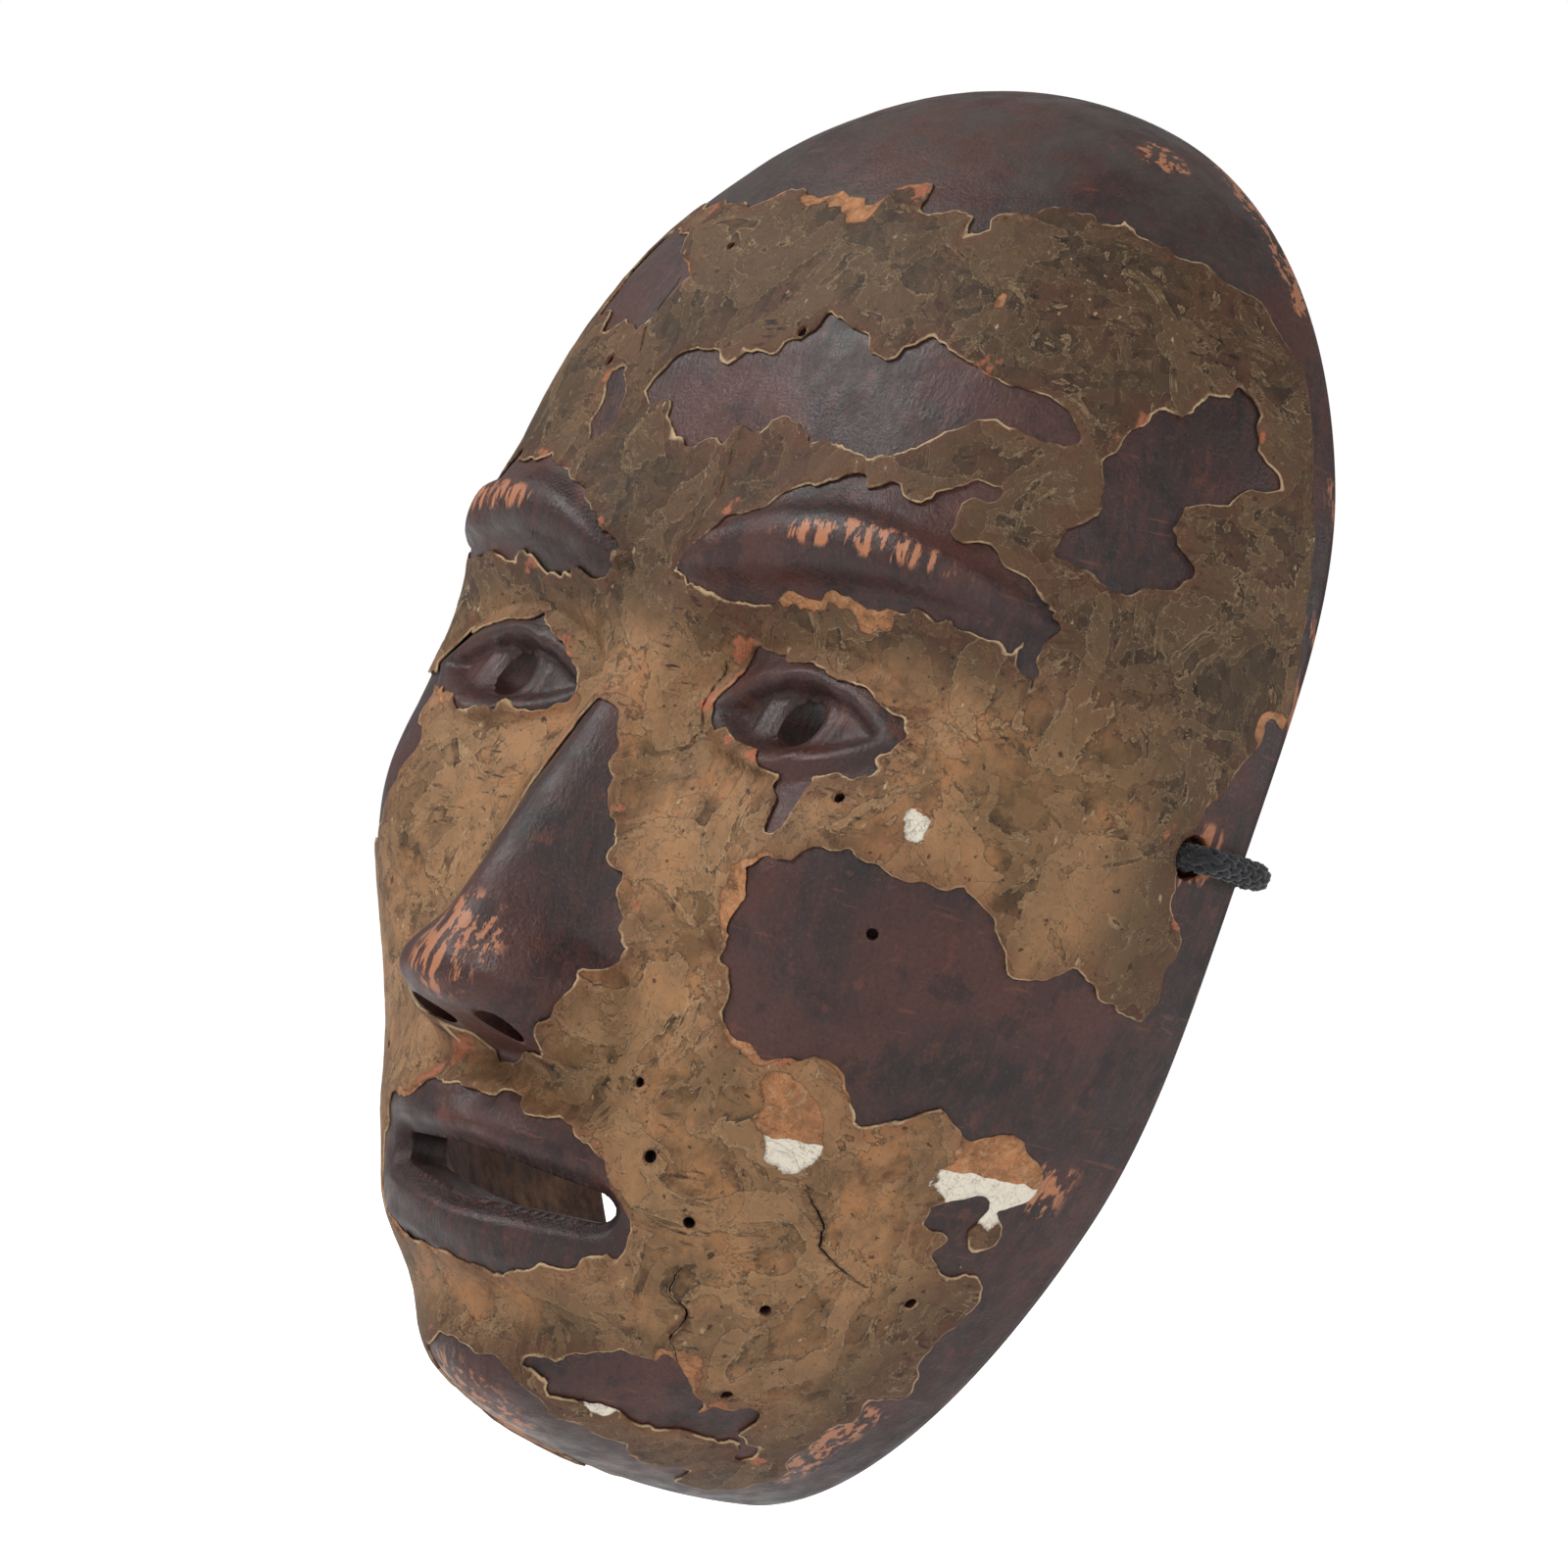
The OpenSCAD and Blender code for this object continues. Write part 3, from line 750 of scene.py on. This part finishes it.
class Nodes:
    """A short way to write a node material."""

    def __init__(self, name):
        self.material = bpy.data.materials.new(name)
        self.material.use_nodes = True
        self.tree = self.material.node_tree
        self.shader = self.tree.nodes["Principled BSDF"]
        self.coordinates = self.node("ShaderNodeTexCoord").outputs["Object"]

    def node(self, kind, inputs=None, **settings):
        """A new node with its settings and its inputs."""
        node = self.tree.nodes.new(kind)
        for key, value in settings.items():
            setattr(node, key, value)
        for key, value in (inputs or {}).items():
            self.link(value, node.inputs[key])
        return node

    def link(self, source, target):
        """Sets the input target to a number or a colour, or joins it to another node's output."""
        if isinstance(source, (int, float)):
            target.default_value = source
        elif isinstance(source, tuple):
            target.default_value = (*source, 1)
        else:
            self.tree.links.new(source, target)

    def surface(self, looks):
        """Sets the shader's inputs by name."""
        for key, value in looks.items():
            self.link(value, self.shader.inputs[key])

    def attribute(self, name):
        return self.node("ShaderNodeAttribute", attribute_name=name).outputs["Fac"]

    def math(self, operation, a, b=0.0, c=0.0):
        node = self.node("ShaderNodeMath", operation=operation)
        for value, socket in zip((a, b, c), node.inputs):
            self.link(value, socket)
        return node.outputs[0]

    def times(self, a, b):
        return self.math("MULTIPLY", a, b)

    def noise(self, size, detail=4, stretch=(1, 1, 1), rough=0.55, distortion=0.0):
        """Noise from 0 to 1 whose blobs are size millimetres across."""
        mapping = self.node("ShaderNodeMapping", {"Vector": self.coordinates})
        mapping.inputs["Scale"].default_value = [1 / (size * MM * k) for k in stretch]
        return self.node("ShaderNodeTexNoise", {
            "Vector": mapping.outputs[0], "Scale": 1, "Detail": detail, "Roughness": rough,
            "Distortion": distortion}).outputs["Fac"]

    def ramp(self, value, low, high):
        """0 below low, 1 above high, smooth between."""
        limits = {"Value": value, "From Min": low, "From Max": high}
        node = self.node("ShaderNodeMapRange", limits, interpolation_type="SMOOTHSTEP")
        return node.outputs["Result"]

    def mix(self, share, a, b):
        parts = {"Factor": share, "A": a, "B": b}
        return self.node("ShaderNodeMix", parts, data_type="RGBA").outputs["Result"]

    def over(self, colour, top, share, strength):
        """colour with top laid over it, where share is high, as far as strength."""
        return self.mix(self.times(share, strength), colour, top)

    def bump(self, height, distance, below=None):
        """Bumps distance millimetres high, on top of the ones below."""
        parts = {"Height": height, "Distance": distance * MM, "Strength": 1.0}
        if below is not None:
            parts["Normal"] = below
        return self.node("ShaderNodeBump", parts).outputs[0]


def srgb(red, green, blue):
    """A linear colour from the 0 to 255 values that a screen shows."""
    return tuple((v / 255 / 12.92) if v < 10.3 else ((v / 255 + 0.055) / 1.055) ** 2.4
                 for v in (red, green, blue))


LACQUER = srgb(50, 36, 35)
LACQUER_RED = srgb(76, 44, 38)
LACQUER_BLACK = srgb(30, 24, 24)
WORN_WOOD = srgb(168, 110, 78)
INSIDE_DARK = srgb(62, 41, 31)
INSIDE_BROWN = srgb(98, 67, 47)
# The painted highlight colour for the crests between the gouge cuts inside
INSIDE_CREST_HIGHLIGHT = srgb(158, 116, 82)
DUST = srgb(84, 77, 70)
RUBBED_RED = srgb(112, 62, 48)
PAINT_BUFF = srgb(160, 114, 76)
PAINT_OLIVE = srgb(112, 84, 56)
PAINT_DUSK = srgb(68, 54, 41)
PAINT_RED = srgb(82, 57, 43)
PAINT_KHAKI = srgb(100, 78, 56)
PAINT_UMBER = srgb(52, 41, 32)
PAINT_PALE = srgb(154, 119, 85)
PAINT_EDGE = srgb(188, 160, 124)
RUST_AND_SHADOW = srgb(100, 62, 46)
ORANGE = srgb(166, 100, 72)
GROUND_WHITE = srgb(232, 222, 204)
GROUND_BUFF = srgb(180, 124, 84)
GROUND_TAN = srgb(146, 102, 70)
CORD_BLACK = srgb(10, 11, 13)
CORD_GREY = srgb(34, 35, 40)
COTTON_TAN = srgb(142, 110, 78)
COTTON_PALE = srgb(178, 142, 104)
COTTON_SHADE = srgb(112, 82, 56)
# Coats of paint that have flaked from each other: size of the flakes in millimetres, how much lighter
# the upper coat is, and how dark the painted shadow line along its edge
PAINT_COATS = [(17, 0.5, 0.8), (7, 0.35, 0.5), (3.2, 0.2, 0.25)]


def wood_material():
    """Dark lacquer, rubbed, scratched and dusty outside, over wood that shows where it is worn;
    inside, bare wood with painted highlights along the crests between the gouge cuts.
    """
    m = Nodes("lacquered_wood")
    grain = m.noise(1.7, 6, (1, 1, 22), 0.7)
    broad = m.noise(28)
    patch = m.noise(11, 9, rough=0.68)
    speckle = m.noise(0.55, 3, rough=0.7)
    colour = m.mix(m.ramp(broad, 0.42, 0.62), LACQUER, LACQUER_RED)
    colour = m.over(colour, LACQUER_BLACK, m.ramp(patch, 0.52, 0.58), 0.6)
    colour = m.over(colour, LACQUER_RED, m.ramp(grain, 0.48, 0.6), 0.5)
    colour = m.over(colour, LACQUER_BLACK, m.ramp(speckle, 0.5, 0.7), 0.5)
    colour = m.over(colour, DUST, m.ramp(speckle, 0.44, 0.3), 0.35)
    lines = m.ramp(m.noise(0.7, 2, (14, 14, 1), distortion=0.4), 0.64, 0.7)
    scratches = m.times(lines, m.ramp(m.noise(9, 3), 0.5, 0.6))
    colour = m.over(colour, RUBBED_RED, scratches, 0.5)
    colour = m.over(colour, RUBBED_RED, m.ramp(m.noise(5, 8, rough=0.7), 0.58, 0.66), 0.35)
    place = m.node("ShaderNodeSeparateXYZ", {"Vector": m.coordinates})
    crown = m.ramp(place.outputs["Z"], 55 * MM, 100 * MM)
    colour = m.over(colour, DUST, m.times(crown, m.ramp(patch, 0.35, 0.7)), 0.6)
    streaks = m.ramp(m.noise(1.5, 6, (1, 1, 7), 0.65), 0.42, 0.58)
    worn = m.ramp(m.times(streaks, m.attribute("wear")), 0.2, 0.42)
    colour = m.mix(worn, colour, WORN_WOOD)
    inner = m.mix(m.ramp(grain, 0.4, 0.6), INSIDE_DARK, INSIDE_BROWN)
    # Painted highlight: the crests between the gouge cuts are drawn lighter, in patches
    crest_highlights = m.times(m.attribute("crest_highlight"), m.ramp(patch, 0.4, 0.6))
    inner = m.over(inner, INSIDE_CREST_HIGHLIGHT, crest_highlights, 0.7)
    colour = m.over(colour, inner, m.attribute("inside"), 0.7)
    matt = m.math("MULTIPLY_ADD", m.ramp(m.noise(4, 6), 0.35, 0.7), 0.2, 0.33)
    matt = m.math("MULTIPLY_ADD", m.attribute("inside"), 0.3, matt)
    relief_bumps = m.bump(grain, 0.2, m.bump(speckle, 0.1, m.bump(patch, 0.35)))
    m.surface({"Base Color": colour, "Roughness": matt, "Specular IOR Level": 0.36,
               "Normal": relief_bumps})
    return m.material


def paint_material():
    """Paint in coats that have flaked from each other, darker towards the top, the jaw and the rim,
    chipped down to the ground.
    """
    m = Nodes("flaking_paint")
    light = m.attribute("light")
    mottle = m.noise(7, 7, rough=0.65)
    fine = m.noise(0.8, 4, rough=0.7)
    dark_tone = m.mix(m.ramp(m.noise(21, 6, rough=0.6), 0.44, 0.6), PAINT_DUSK, PAINT_RED)
    light_tone = m.mix(m.ramp(m.noise(16, 6, rough=0.6), 0.42, 0.6), PAINT_OLIVE, PAINT_BUFF)
    colour = m.mix(m.ramp(light, 0.1, 0.8), dark_tone, light_tone)
    colour = m.over(colour, PAINT_UMBER, m.ramp(mottle, 0.46, 0.66), 0.75)
    soot = m.ramp(m.noise(2.4, 5, (1, 1, 9), 0.65), 0.5, 0.64)
    colour = m.over(colour, PAINT_UMBER, soot, m.math("MULTIPLY_ADD", light, -0.55, 0.72))
    upper_coat = m.mix(light, PAINT_KHAKI, PAINT_PALE)
    steps = 0.0
    for size, cover, dark_line in PAINT_COATS:
        layer = m.noise(size, 8, rough=0.6, distortion=0.9)
        above = m.ramp(layer, 0.520, 0.526)
        shadow = m.times(m.ramp(layer, 0.505, 0.518), m.ramp(layer, 0.522, 0.518))
        rim = m.times(m.ramp(layer, 0.520, 0.524), m.ramp(layer, 0.536, 0.526))
        colour = m.over(colour, upper_coat, above, cover)
        # A painted shadow line just outside each coat's edge
        colour = m.over(colour, PAINT_UMBER, shadow, dark_line)
        colour = m.over(colour, PAINT_EDGE, rim, 0.45)
        steps = m.math("ADD", steps, above)
    colour = m.over(colour, PAINT_PALE, m.ramp(fine, 0.56, 0.8), 0.3)
    flecks = m.ramp(m.noise(1.1, 3, (1, 1, 2.4)), 0.66, 0.7)
    flecks = m.times(flecks, m.ramp(m.noise(13, 3), 0.5, 0.6))
    colour = m.over(colour, PAINT_EDGE, flecks, 0.75)
    colour = m.over(colour, LACQUER_BLACK, m.ramp(m.noise(1.5, 2), 0.68, 0.73), 0.75)
    scraped = m.ramp(m.noise(0.8, 3, (5, 5, 1)), 0.58, 0.66)
    scraped = m.times(scraped, m.ramp(m.noise(20, 3), 0.56, 0.66))
    colour = m.over(colour, LACQUER_BLACK, scraped, 0.85)
    edge = m.attribute("edge")
    ragged = m.math("MULTIPLY_ADD", m.math("SUBTRACT", m.noise(2.4, 5), 0.5), 4.0, edge)
    tinge = m.math("SUBTRACT", 1.0, m.ramp(ragged, 0.2, 2.6))
    colour = m.over(colour, RUST_AND_SHADOW, tinge, 0.35)
    bare = m.times(m.ramp(ragged, 1.5, 0.9), m.ramp(m.noise(9), 0.62, 0.66))
    colour = m.over(colour, ORANGE, bare, 0.85)
    colour = m.over(colour, PAINT_EDGE, m.ramp(edge, 0.26, 0.05), m.ramp(m.noise(6), 0.4, 0.58))
    wander = m.math("SUBTRACT", m.noise(1.8, 5), 0.5)
    ground = m.math("MULTIPLY_ADD", wander, 1.4, m.attribute("ground"))
    chalk = m.mix(m.ramp(m.noise(3, 5, rough=0.65), 0.38, 0.62), GROUND_TAN, GROUND_BUFF)
    chalk = m.over(chalk, PAINT_EDGE, m.ramp(m.noise(1.2), 0.5, 0.7), 0.5)
    chalk = m.mix(m.ramp(m.attribute("white"), 0.46, 0.54), chalk, GROUND_WHITE)
    # Painted shadow: the bare ground is darker within half a millimetre of the higher paint round it
    chalk = m.over(chalk, RUST_AND_SHADOW, m.ramp(ground, 0.45, 0.0), 0.6)
    laid_bare = m.ramp(ground, 0.0, 0.08)
    colour = m.mix(laid_bare, colour, chalk)
    rough = m.bump(m.noise(2.6, 6, rough=0.65), 0.4, m.bump(steps, 0.2))
    rough = m.bump(mottle, 0.45, rough)
    rough = m.bump(m.times(m.noise(1.4, 5, rough=0.7), laid_bare), 0.5, rough)
    m.surface({"Base Color": colour, "Roughness": m.math("MULTIPLY_ADD", mottle, 0.3, 0.42),
               "Specular IOR Level": 0.18, "Normal": m.bump(fine, 0.12, rough)})
    return m.material


def cord_material():
    """Matt black thread."""
    m = Nodes("black_braid")
    fibre = m.noise(0.35, 3, rough=0.7)
    m.surface({"Base Color": m.mix(fibre, CORD_BLACK, CORD_GREY), "Roughness": 0.82,
               "Sheen Weight": 0.25, "Normal": m.bump(fibre, 0.12)})
    return m.material


def pad_material():
    """Plain-woven cotton."""
    m = Nodes("brown_cotton")
    warp, weft = (m.node("ShaderNodeTexWave",
                         {"Vector": m.coordinates, "Scale": 560, "Distortion": 0.4},
                         wave_type="BANDS", bands_direction=way).outputs["Fac"] for way in "XZ")
    weave = m.math("MAXIMUM", warp, weft)
    tone = m.mix(m.noise(6), COTTON_TAN, COTTON_PALE)
    m.surface({"Base Color": m.over(tone, COTTON_SHADE, weave, 0.35), "Roughness": 0.9,
               "Sheen Weight": 0.3, "Normal": m.bump(weave, 0.12)})
    return m.material


# ---- cords

def smooth_path(points, step, closed=False):
    """Points step apart along a Catmull-Rom curve through the given ones."""
    points = np.array(points, float)
    n = len(points)
    spans = n if closed else n - 1
    fine = []
    for k in range(spans):
        if closed:
            p0, p1, p2, p3 = (points[(k + d) % n] for d in (-1, 0, 1, 2))
        else:
            p1, p2 = points[k], points[k + 1]
            p0 = points[k - 1] if k else 2 * p1 - p2
            p3 = points[k + 2] if k + 2 < n else 2 * p2 - p1
        for u in np.linspace(0, 1, 20, endpoint=False):
            fine.append(0.5 * (2 * p1 + (p2 - p0) * u + (2 * p0 - 5 * p1 + 4 * p2 - p3) * u * u
                               + (3 * p1 - p0 - 3 * p2 + p3) * u ** 3))
    fine.append(points[0] if closed else points[-1])
    fine = np.array(fine)
    lengths = np.concatenate([[0], np.cumsum(np.linalg.norm(np.diff(fine, axis=0), axis=1))])
    rings = max(4, round(lengths[-1] / step))
    at = np.linspace(0, lengths[-1], rings + 1)
    return np.stack([np.interp(at, lengths, fine[:, k]) for k in range(3)], -1)


def path_frames(path):
    """Two directions across the path at each point, carried along it without twisting."""
    along = np.gradient(path, axis=0)
    along /= np.linalg.norm(along, axis=1, keepdims=True)
    first = np.cross(along[0], [0.3, 0.9, 0.2])
    first /= np.linalg.norm(first)
    across = [first]
    for d in along[1:]:
        v = across[-1] - d * np.dot(across[-1], d)
        across.append(v / np.linalg.norm(v))
    across = np.array(across)
    return across, np.cross(along, across)


def tube(path, radius, sides, verts, faces):
    """Adds a closed round tube along path. radius is one number, or one for each point."""
    across, other = path_frames(path)
    radius = np.broadcast_to(radius, len(path))
    turns = np.linspace(0, 2 * np.pi, sides, endpoint=False)
    first = len(verts)
    for k, centre in enumerate(path):
        ring = radius[k] * (np.outer(np.cos(turns), across[k]) + np.outer(np.sin(turns), other[k]))
        verts.extend((centre + ring).tolist())
    for k in range(len(path) - 1):
        for j in range(sides):
            a, b = first + k * sides + j, first + k * sides + (j + 1) % sides
            faces.append([a, b, b + sides, a + sides])
    faces.append([first + j for j in range(sides)][::-1])
    faces.append([first + (len(path) - 1) * sides + j for j in range(sides)])


STRANDS_EACH_WAY = 6
BRAID_PITCH = 13.0


def braid(name, path, diameter=CORD_D):
    """A round braid: strands that wind both ways and pass over and under, round a core."""
    across, other = path_frames(path)
    run = np.concatenate([[0], np.cumsum(np.linalg.norm(np.diff(path, axis=0), axis=1))])
    strand_r = diameter * 0.125
    wave = diameter * 0.055
    middle_r = diameter / 2 - strand_r - wave
    wound = 2 * np.pi * run / (BRAID_PITCH * diameter / CORD_D)
    verts, faces = [], []
    tube(path, middle_r, 12, verts, faces)
    for k in range(2 * STRANDS_EACH_WAY):
        way = 1 if k % 2 else -1
        turn = 2 * np.pi * (k // 2) / STRANDS_EACH_WAY + way * wound
        reach = middle_r + way * wave * np.cos(STRANDS_EACH_WAY * wound)
        outwards = np.cos(turn)[:, None] * across + np.sin(turn)[:, None] * other
        strand = path + reach[:, None] * outwards
        tube(strand, strand_r, 6, verts, faces)
    return make_mesh(name, verts, faces)


# Half of the hanging cord, from inside its knot to its lowest point, as x and z
CORD_ROUTE = [(56.2, 0), (53.5, 0), (50.5, -0.8), (47.8, -3.2), (46, -7), (44, -12.5),
              (41.3, -18.5), (37.8, -24.5), (33.5, -30), (28.5, -35), (22.8, -39.5), (16, -43.2),
              (8.3, -45.7), (0, -46.5)]


def add_hanging_cord(material):
    """The cord across the back, from knot to knot. Returns its length in metres."""
    low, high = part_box("hanging_cord")
    y = (low.y + high.y) / 2 / MM
    half = [(x, y, z) for x, z in CORD_ROUTE]
    route = half + [(-x, y, z) for x, y, z in half[-2::-1]]
    path = smooth_path(route, 0.4)
    piece = braid("hanging_braid", path)
    piece.data.materials.append(material)
    length = float(np.linalg.norm(np.diff(path, axis=0), axis=1).sum()) * MM
    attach(piece, "cord")
    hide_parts("hanging_cord")
    return length


def add_rim_loop(side, node, material):
    """The cord's turn through the ear hole and round the rim."""
    low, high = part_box(node)
    inner, outer = sorted((abs(low.x) / MM, abs(high.x) / MM))
    x0, x1 = inner + CORD_D / 2, outer - CORD_D / 2
    y0, y1 = low.y / MM + CORD_D / 2, high.y / MM - CORD_D / 2
    mid_x, mid_y = (x0 + x1) / 2, (y0 + y1) / 2
    bend = 2.4
    cut_in = bend * 0.3
    bulge = 0.1
    corners = [
        (x1 - bend, y0), (x1 - cut_in, y0 + cut_in), (x1, y0 + bend), (x1 + bulge, mid_y),
        (x1, y1 - bend), (x1 - cut_in, y1 - cut_in), (x1 - bend, y1), (mid_x, y1),
        (x0 + bend, y1), (x0 + cut_in, y1 - cut_in), (x0, y1 - bend), (x0, mid_y),
        (x0, y0 + bend), (x0 + cut_in, y0 + cut_in), (x0 + bend, y0), (mid_x, y0),
    ]
    path = smooth_path([(side * x, y, 0) for x, y in corners], 0.35, closed=True)
    piece = braid(node.replace("rim_loop", "ear_lashing"), path)
    piece.data.materials.append(material)
    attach(piece, "mask")
    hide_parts(node)


def add_knot(side, node, material):
    """An overhand knot with a short tail."""
    turns = np.linspace(0, 2 * np.pi, 130)
    size = 1.25
    knot = size * np.stack([-1.1 * np.sin(3 * turns), np.sin(turns) + 2 * np.sin(2 * turns),
                            np.cos(turns) - 2 * np.cos(2 * turns)], -1)
    centre = np.array([side * KNOT_AT[0], KNOT_AT[1], KNOT_AT[2]])
    piece = braid(node.replace("knot", "overhand_knot"), knot + centre, CORD_D * 0.86)
    route = [(0, 1.5, 2), (-side * 2, 4, 4.5), (-side * 3, 4, 9), (-side * 2.4, 3, 13)]
    tail = smooth_path([centre + step for step in route], 0.4)
    end = braid(node.replace("knot", "cord_end"), tail, CORD_D * 0.9)
    for part in (piece, end):
        part.data.materials.append(material)
        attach(part, "mask")
    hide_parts(node)


# ---- pads

PAD_VOXEL = 0.0007    # in metres
STITCHES = 30         # round the hem of a pad
TUFTS = (-0.42, 0.42)  # where the pad is drawn in, as shares of its half width


def add_pad(node, material):
    """A stuffed cotton pad: crowned, drawn in between its corners, with a stitched edge."""
    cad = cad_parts[node]
    piece = add_object(node.replace("forehead_pad", "brow_cushion"), cad.data.copy())
    remesh = piece.modifiers.new("remesh", "REMESH")
    remesh.mode = "VOXEL"
    remesh.voxel_size = PAD_VOXEL
    smooth = piece.modifiers.new("smooth", "SMOOTH")
    smooth.factor = 0.8
    smooth.iterations = 6
    apply_modifiers(piece)
    co = np.array([v.co for v in piece.data.vertices]) / MM
    low, high = co.min(0), co.max(0)
    centre, half = (low + high) / 2, (high - low) / 2
    u, v = (co[:, 0] - centre[0]) / half[0], (co[:, 2] - centre[2]) / half[2]
    border = (u ** 4 + v ** 4) ** 0.25
    turn = np.arctan2(v, u)
    crumple = 0.5 * fbm(co, 6, SEED + 90, 3)
    crumple += (0.3 * np.cos(turn * STITCHES) - 0.55) * bump((border - 0.84) / 0.05)
    for tuft in TUFTS:
        away_u, away_v = (u - tuft) * half[0], v * half[2]
        gap = np.hypot(away_u, away_v)
        folds = 0.22 * np.cos(6 * np.arctan2(away_v, away_u)) * ease(0.5, 2, gap)
        crumple += (folds - 0.4) * bump(gap / 3) - 0.9 * bump(gap / 0.9)
    normals = np.array([v.normal for v in piece.data.vertices])
    away = normals[:, 1] > -0.2
    co += normals * (crumple * away)[:, None]
    piece.data.vertices.foreach_set("co", (co * MM).astype(np.float32).ravel())
    piece.data.polygons.foreach_set("use_smooth", np.ones(len(piece.data.polygons), bool))
    piece.data.materials.clear()
    piece.data.materials.append(material)
    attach(piece, "mask")
    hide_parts(node)


# ---- the scene

# Each light's name, place and side in metres, and power in watts
LIGHTS = [("key", (-0.55, -0.8, 0.75), 0.5, 10), ("front", (0.85, -0.9, 0.45), 0.5, 4.2),
          ("rim", (0.9, 0.55, 0.3), 0.4, 3), ("back", (-0.7, 1.1, 0.3), 0.5, 2.5)]
LIT_POINT = Vector((0, -0.03, 0))
# How bright the surroundings are as light, and as the camera sees them
WORLD_LIGHT, WORLD_SEEN = 0.3, 1.0
FLOOR_GLOW, FLOOR_GLOW_SEEN = 0.25, 0.6    # the second is added for the camera
FLOOR_GAP = 0.05


def add_light(name, place, side, power):
    data = bpy.data.lights.new(name, "AREA")
    data.shape = "SQUARE"
    data.size = side
    data.energy = power
    light = add_object(name, data)
    light.location = place
    aim = LIT_POINT - Vector(place)
    light.rotation_euler = aim.to_track_quat("-Z", "Y").to_euler()


def add_studio():
    """Lights, white surroundings that light less than they show, and a floor."""
    for light in LIGHTS:
        add_light(*light)
    world = bpy.data.worlds.new("world")
    world.use_nodes = True
    tree = world.node_tree
    background = tree.nodes["Background"]
    background.inputs["Color"].default_value = (1, 1, 1, 1)
    seen = tree.nodes.new("ShaderNodeLightPath")
    strength = tree.nodes.new("ShaderNodeMapRange")
    strength.inputs["To Min"].default_value = WORLD_LIGHT
    strength.inputs["To Max"].default_value = WORLD_SEEN
    tree.links.new(seen.outputs["Is Camera Ray"], strength.inputs["Value"])
    tree.links.new(strength.outputs["Result"], background.inputs["Strength"])
    bpy.context.scene.world = world
    bpy.ops.mesh.primitive_plane_add(size=60, location=(0, 0, cad_box[0].z - FLOOR_GAP))
    floor = bpy.context.object
    floor.name = "floor"
    m = Nodes("pale_floor")
    camera_ray = m.node("ShaderNodeLightPath").outputs["Is Camera Ray"]
    glow = m.math("MULTIPLY_ADD", camera_ray, FLOOR_GLOW_SEEN, FLOOR_GLOW)
    m.surface({"Base Color": (0.85, 0.85, 0.85), "Roughness": 0.9, "Emission Color": (1, 1, 1),
               "Emission Strength": glow})
    floor.data.materials.append(m.material)
    bpy.context.scene.view_settings.view_transform = "Standard"


def wear_of(points):
    """How worn each point is: brow tops, nose tip, chin, and spots along the rim."""
    x, z, depth = points[:, 0], points[:, 2], -points[:, 1]
    ax = np.abs(x)
    wear = 0.85 * bump((ax - 38) / 9, (z - brow_line(ax) - 1) / 1.6)
    wear += 0.9 * bump((x - 1) / 5, (z + 34) / 5) * ease(66, 72, depth)
    wear += 0.55 * bump((x + 2) / 8, (z + 94) / 5)
    wear += 0.75 * bump((depth - 1) / 2.2) * ease(0.1, 0.55, value_noise(points, 14, SEED + 95))
    wear += 0.6 * ease(0.45, 0.75, value_noise(points, 12, SEED + 96)) * bump((depth - 14) / 5)
    return np.clip(wear, 0, 1)


def add_mask():
    """The wooden shell and its paint, with the holes, worm holes and cracks cut through both."""
    shell = build_shell()
    paint = build_paint()
    cracks = [crack_part(line) for line in CRACKS]
    cutter = join_cutters("holes", hole_cutters() + worm_parts() + cracks)
    face_outwards(cutter)
    cut(shell, cutter)
    cut(paint, cutter)
    bpy.data.objects.remove(cutter)
    shell_points = np.array([v.co for v in shell.data.vertices]) / MM
    layer = shell.data.attributes.new("wear", "FLOAT", "POINT")
    inside = np.zeros(len(shell_points), np.float32)
    shell.data.attributes["inside"].data.foreach_get("value", inside)
    rubbed = wear_of(shell_points) * np.where(shell_points[:, 1] < -3, 1 - inside, 1)
    layer.data.foreach_set("value", rubbed.astype(np.float32))
    shell.data.materials.clear()
    shell.data.materials.append(wood_material())
    paint.data.materials.clear()
    paint.data.materials.append(paint_material())
    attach(shell, "mask")
    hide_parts("mask_shell")
    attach(paint, "mask")
    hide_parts("forehead_paint", "left_temple_paint", "right_temple_paint",
                "left_cheek_paint", "right_cheek_paint", "upper_lip_paint", "chin_paint")


black_braid = cord_material()
cord_length = add_hanging_cord(black_braid)
for side, word in ((1, "left"), (-1, "right")):
    add_rim_loop(side, f"{word}_rim_loop", black_braid)
    add_knot(side, f"{word}_knot", black_braid)
add_mask()
cotton = pad_material()
for word in ("left", "right"):
    add_pad(f"{word}_forehead_pad", cotton)
add_studio()
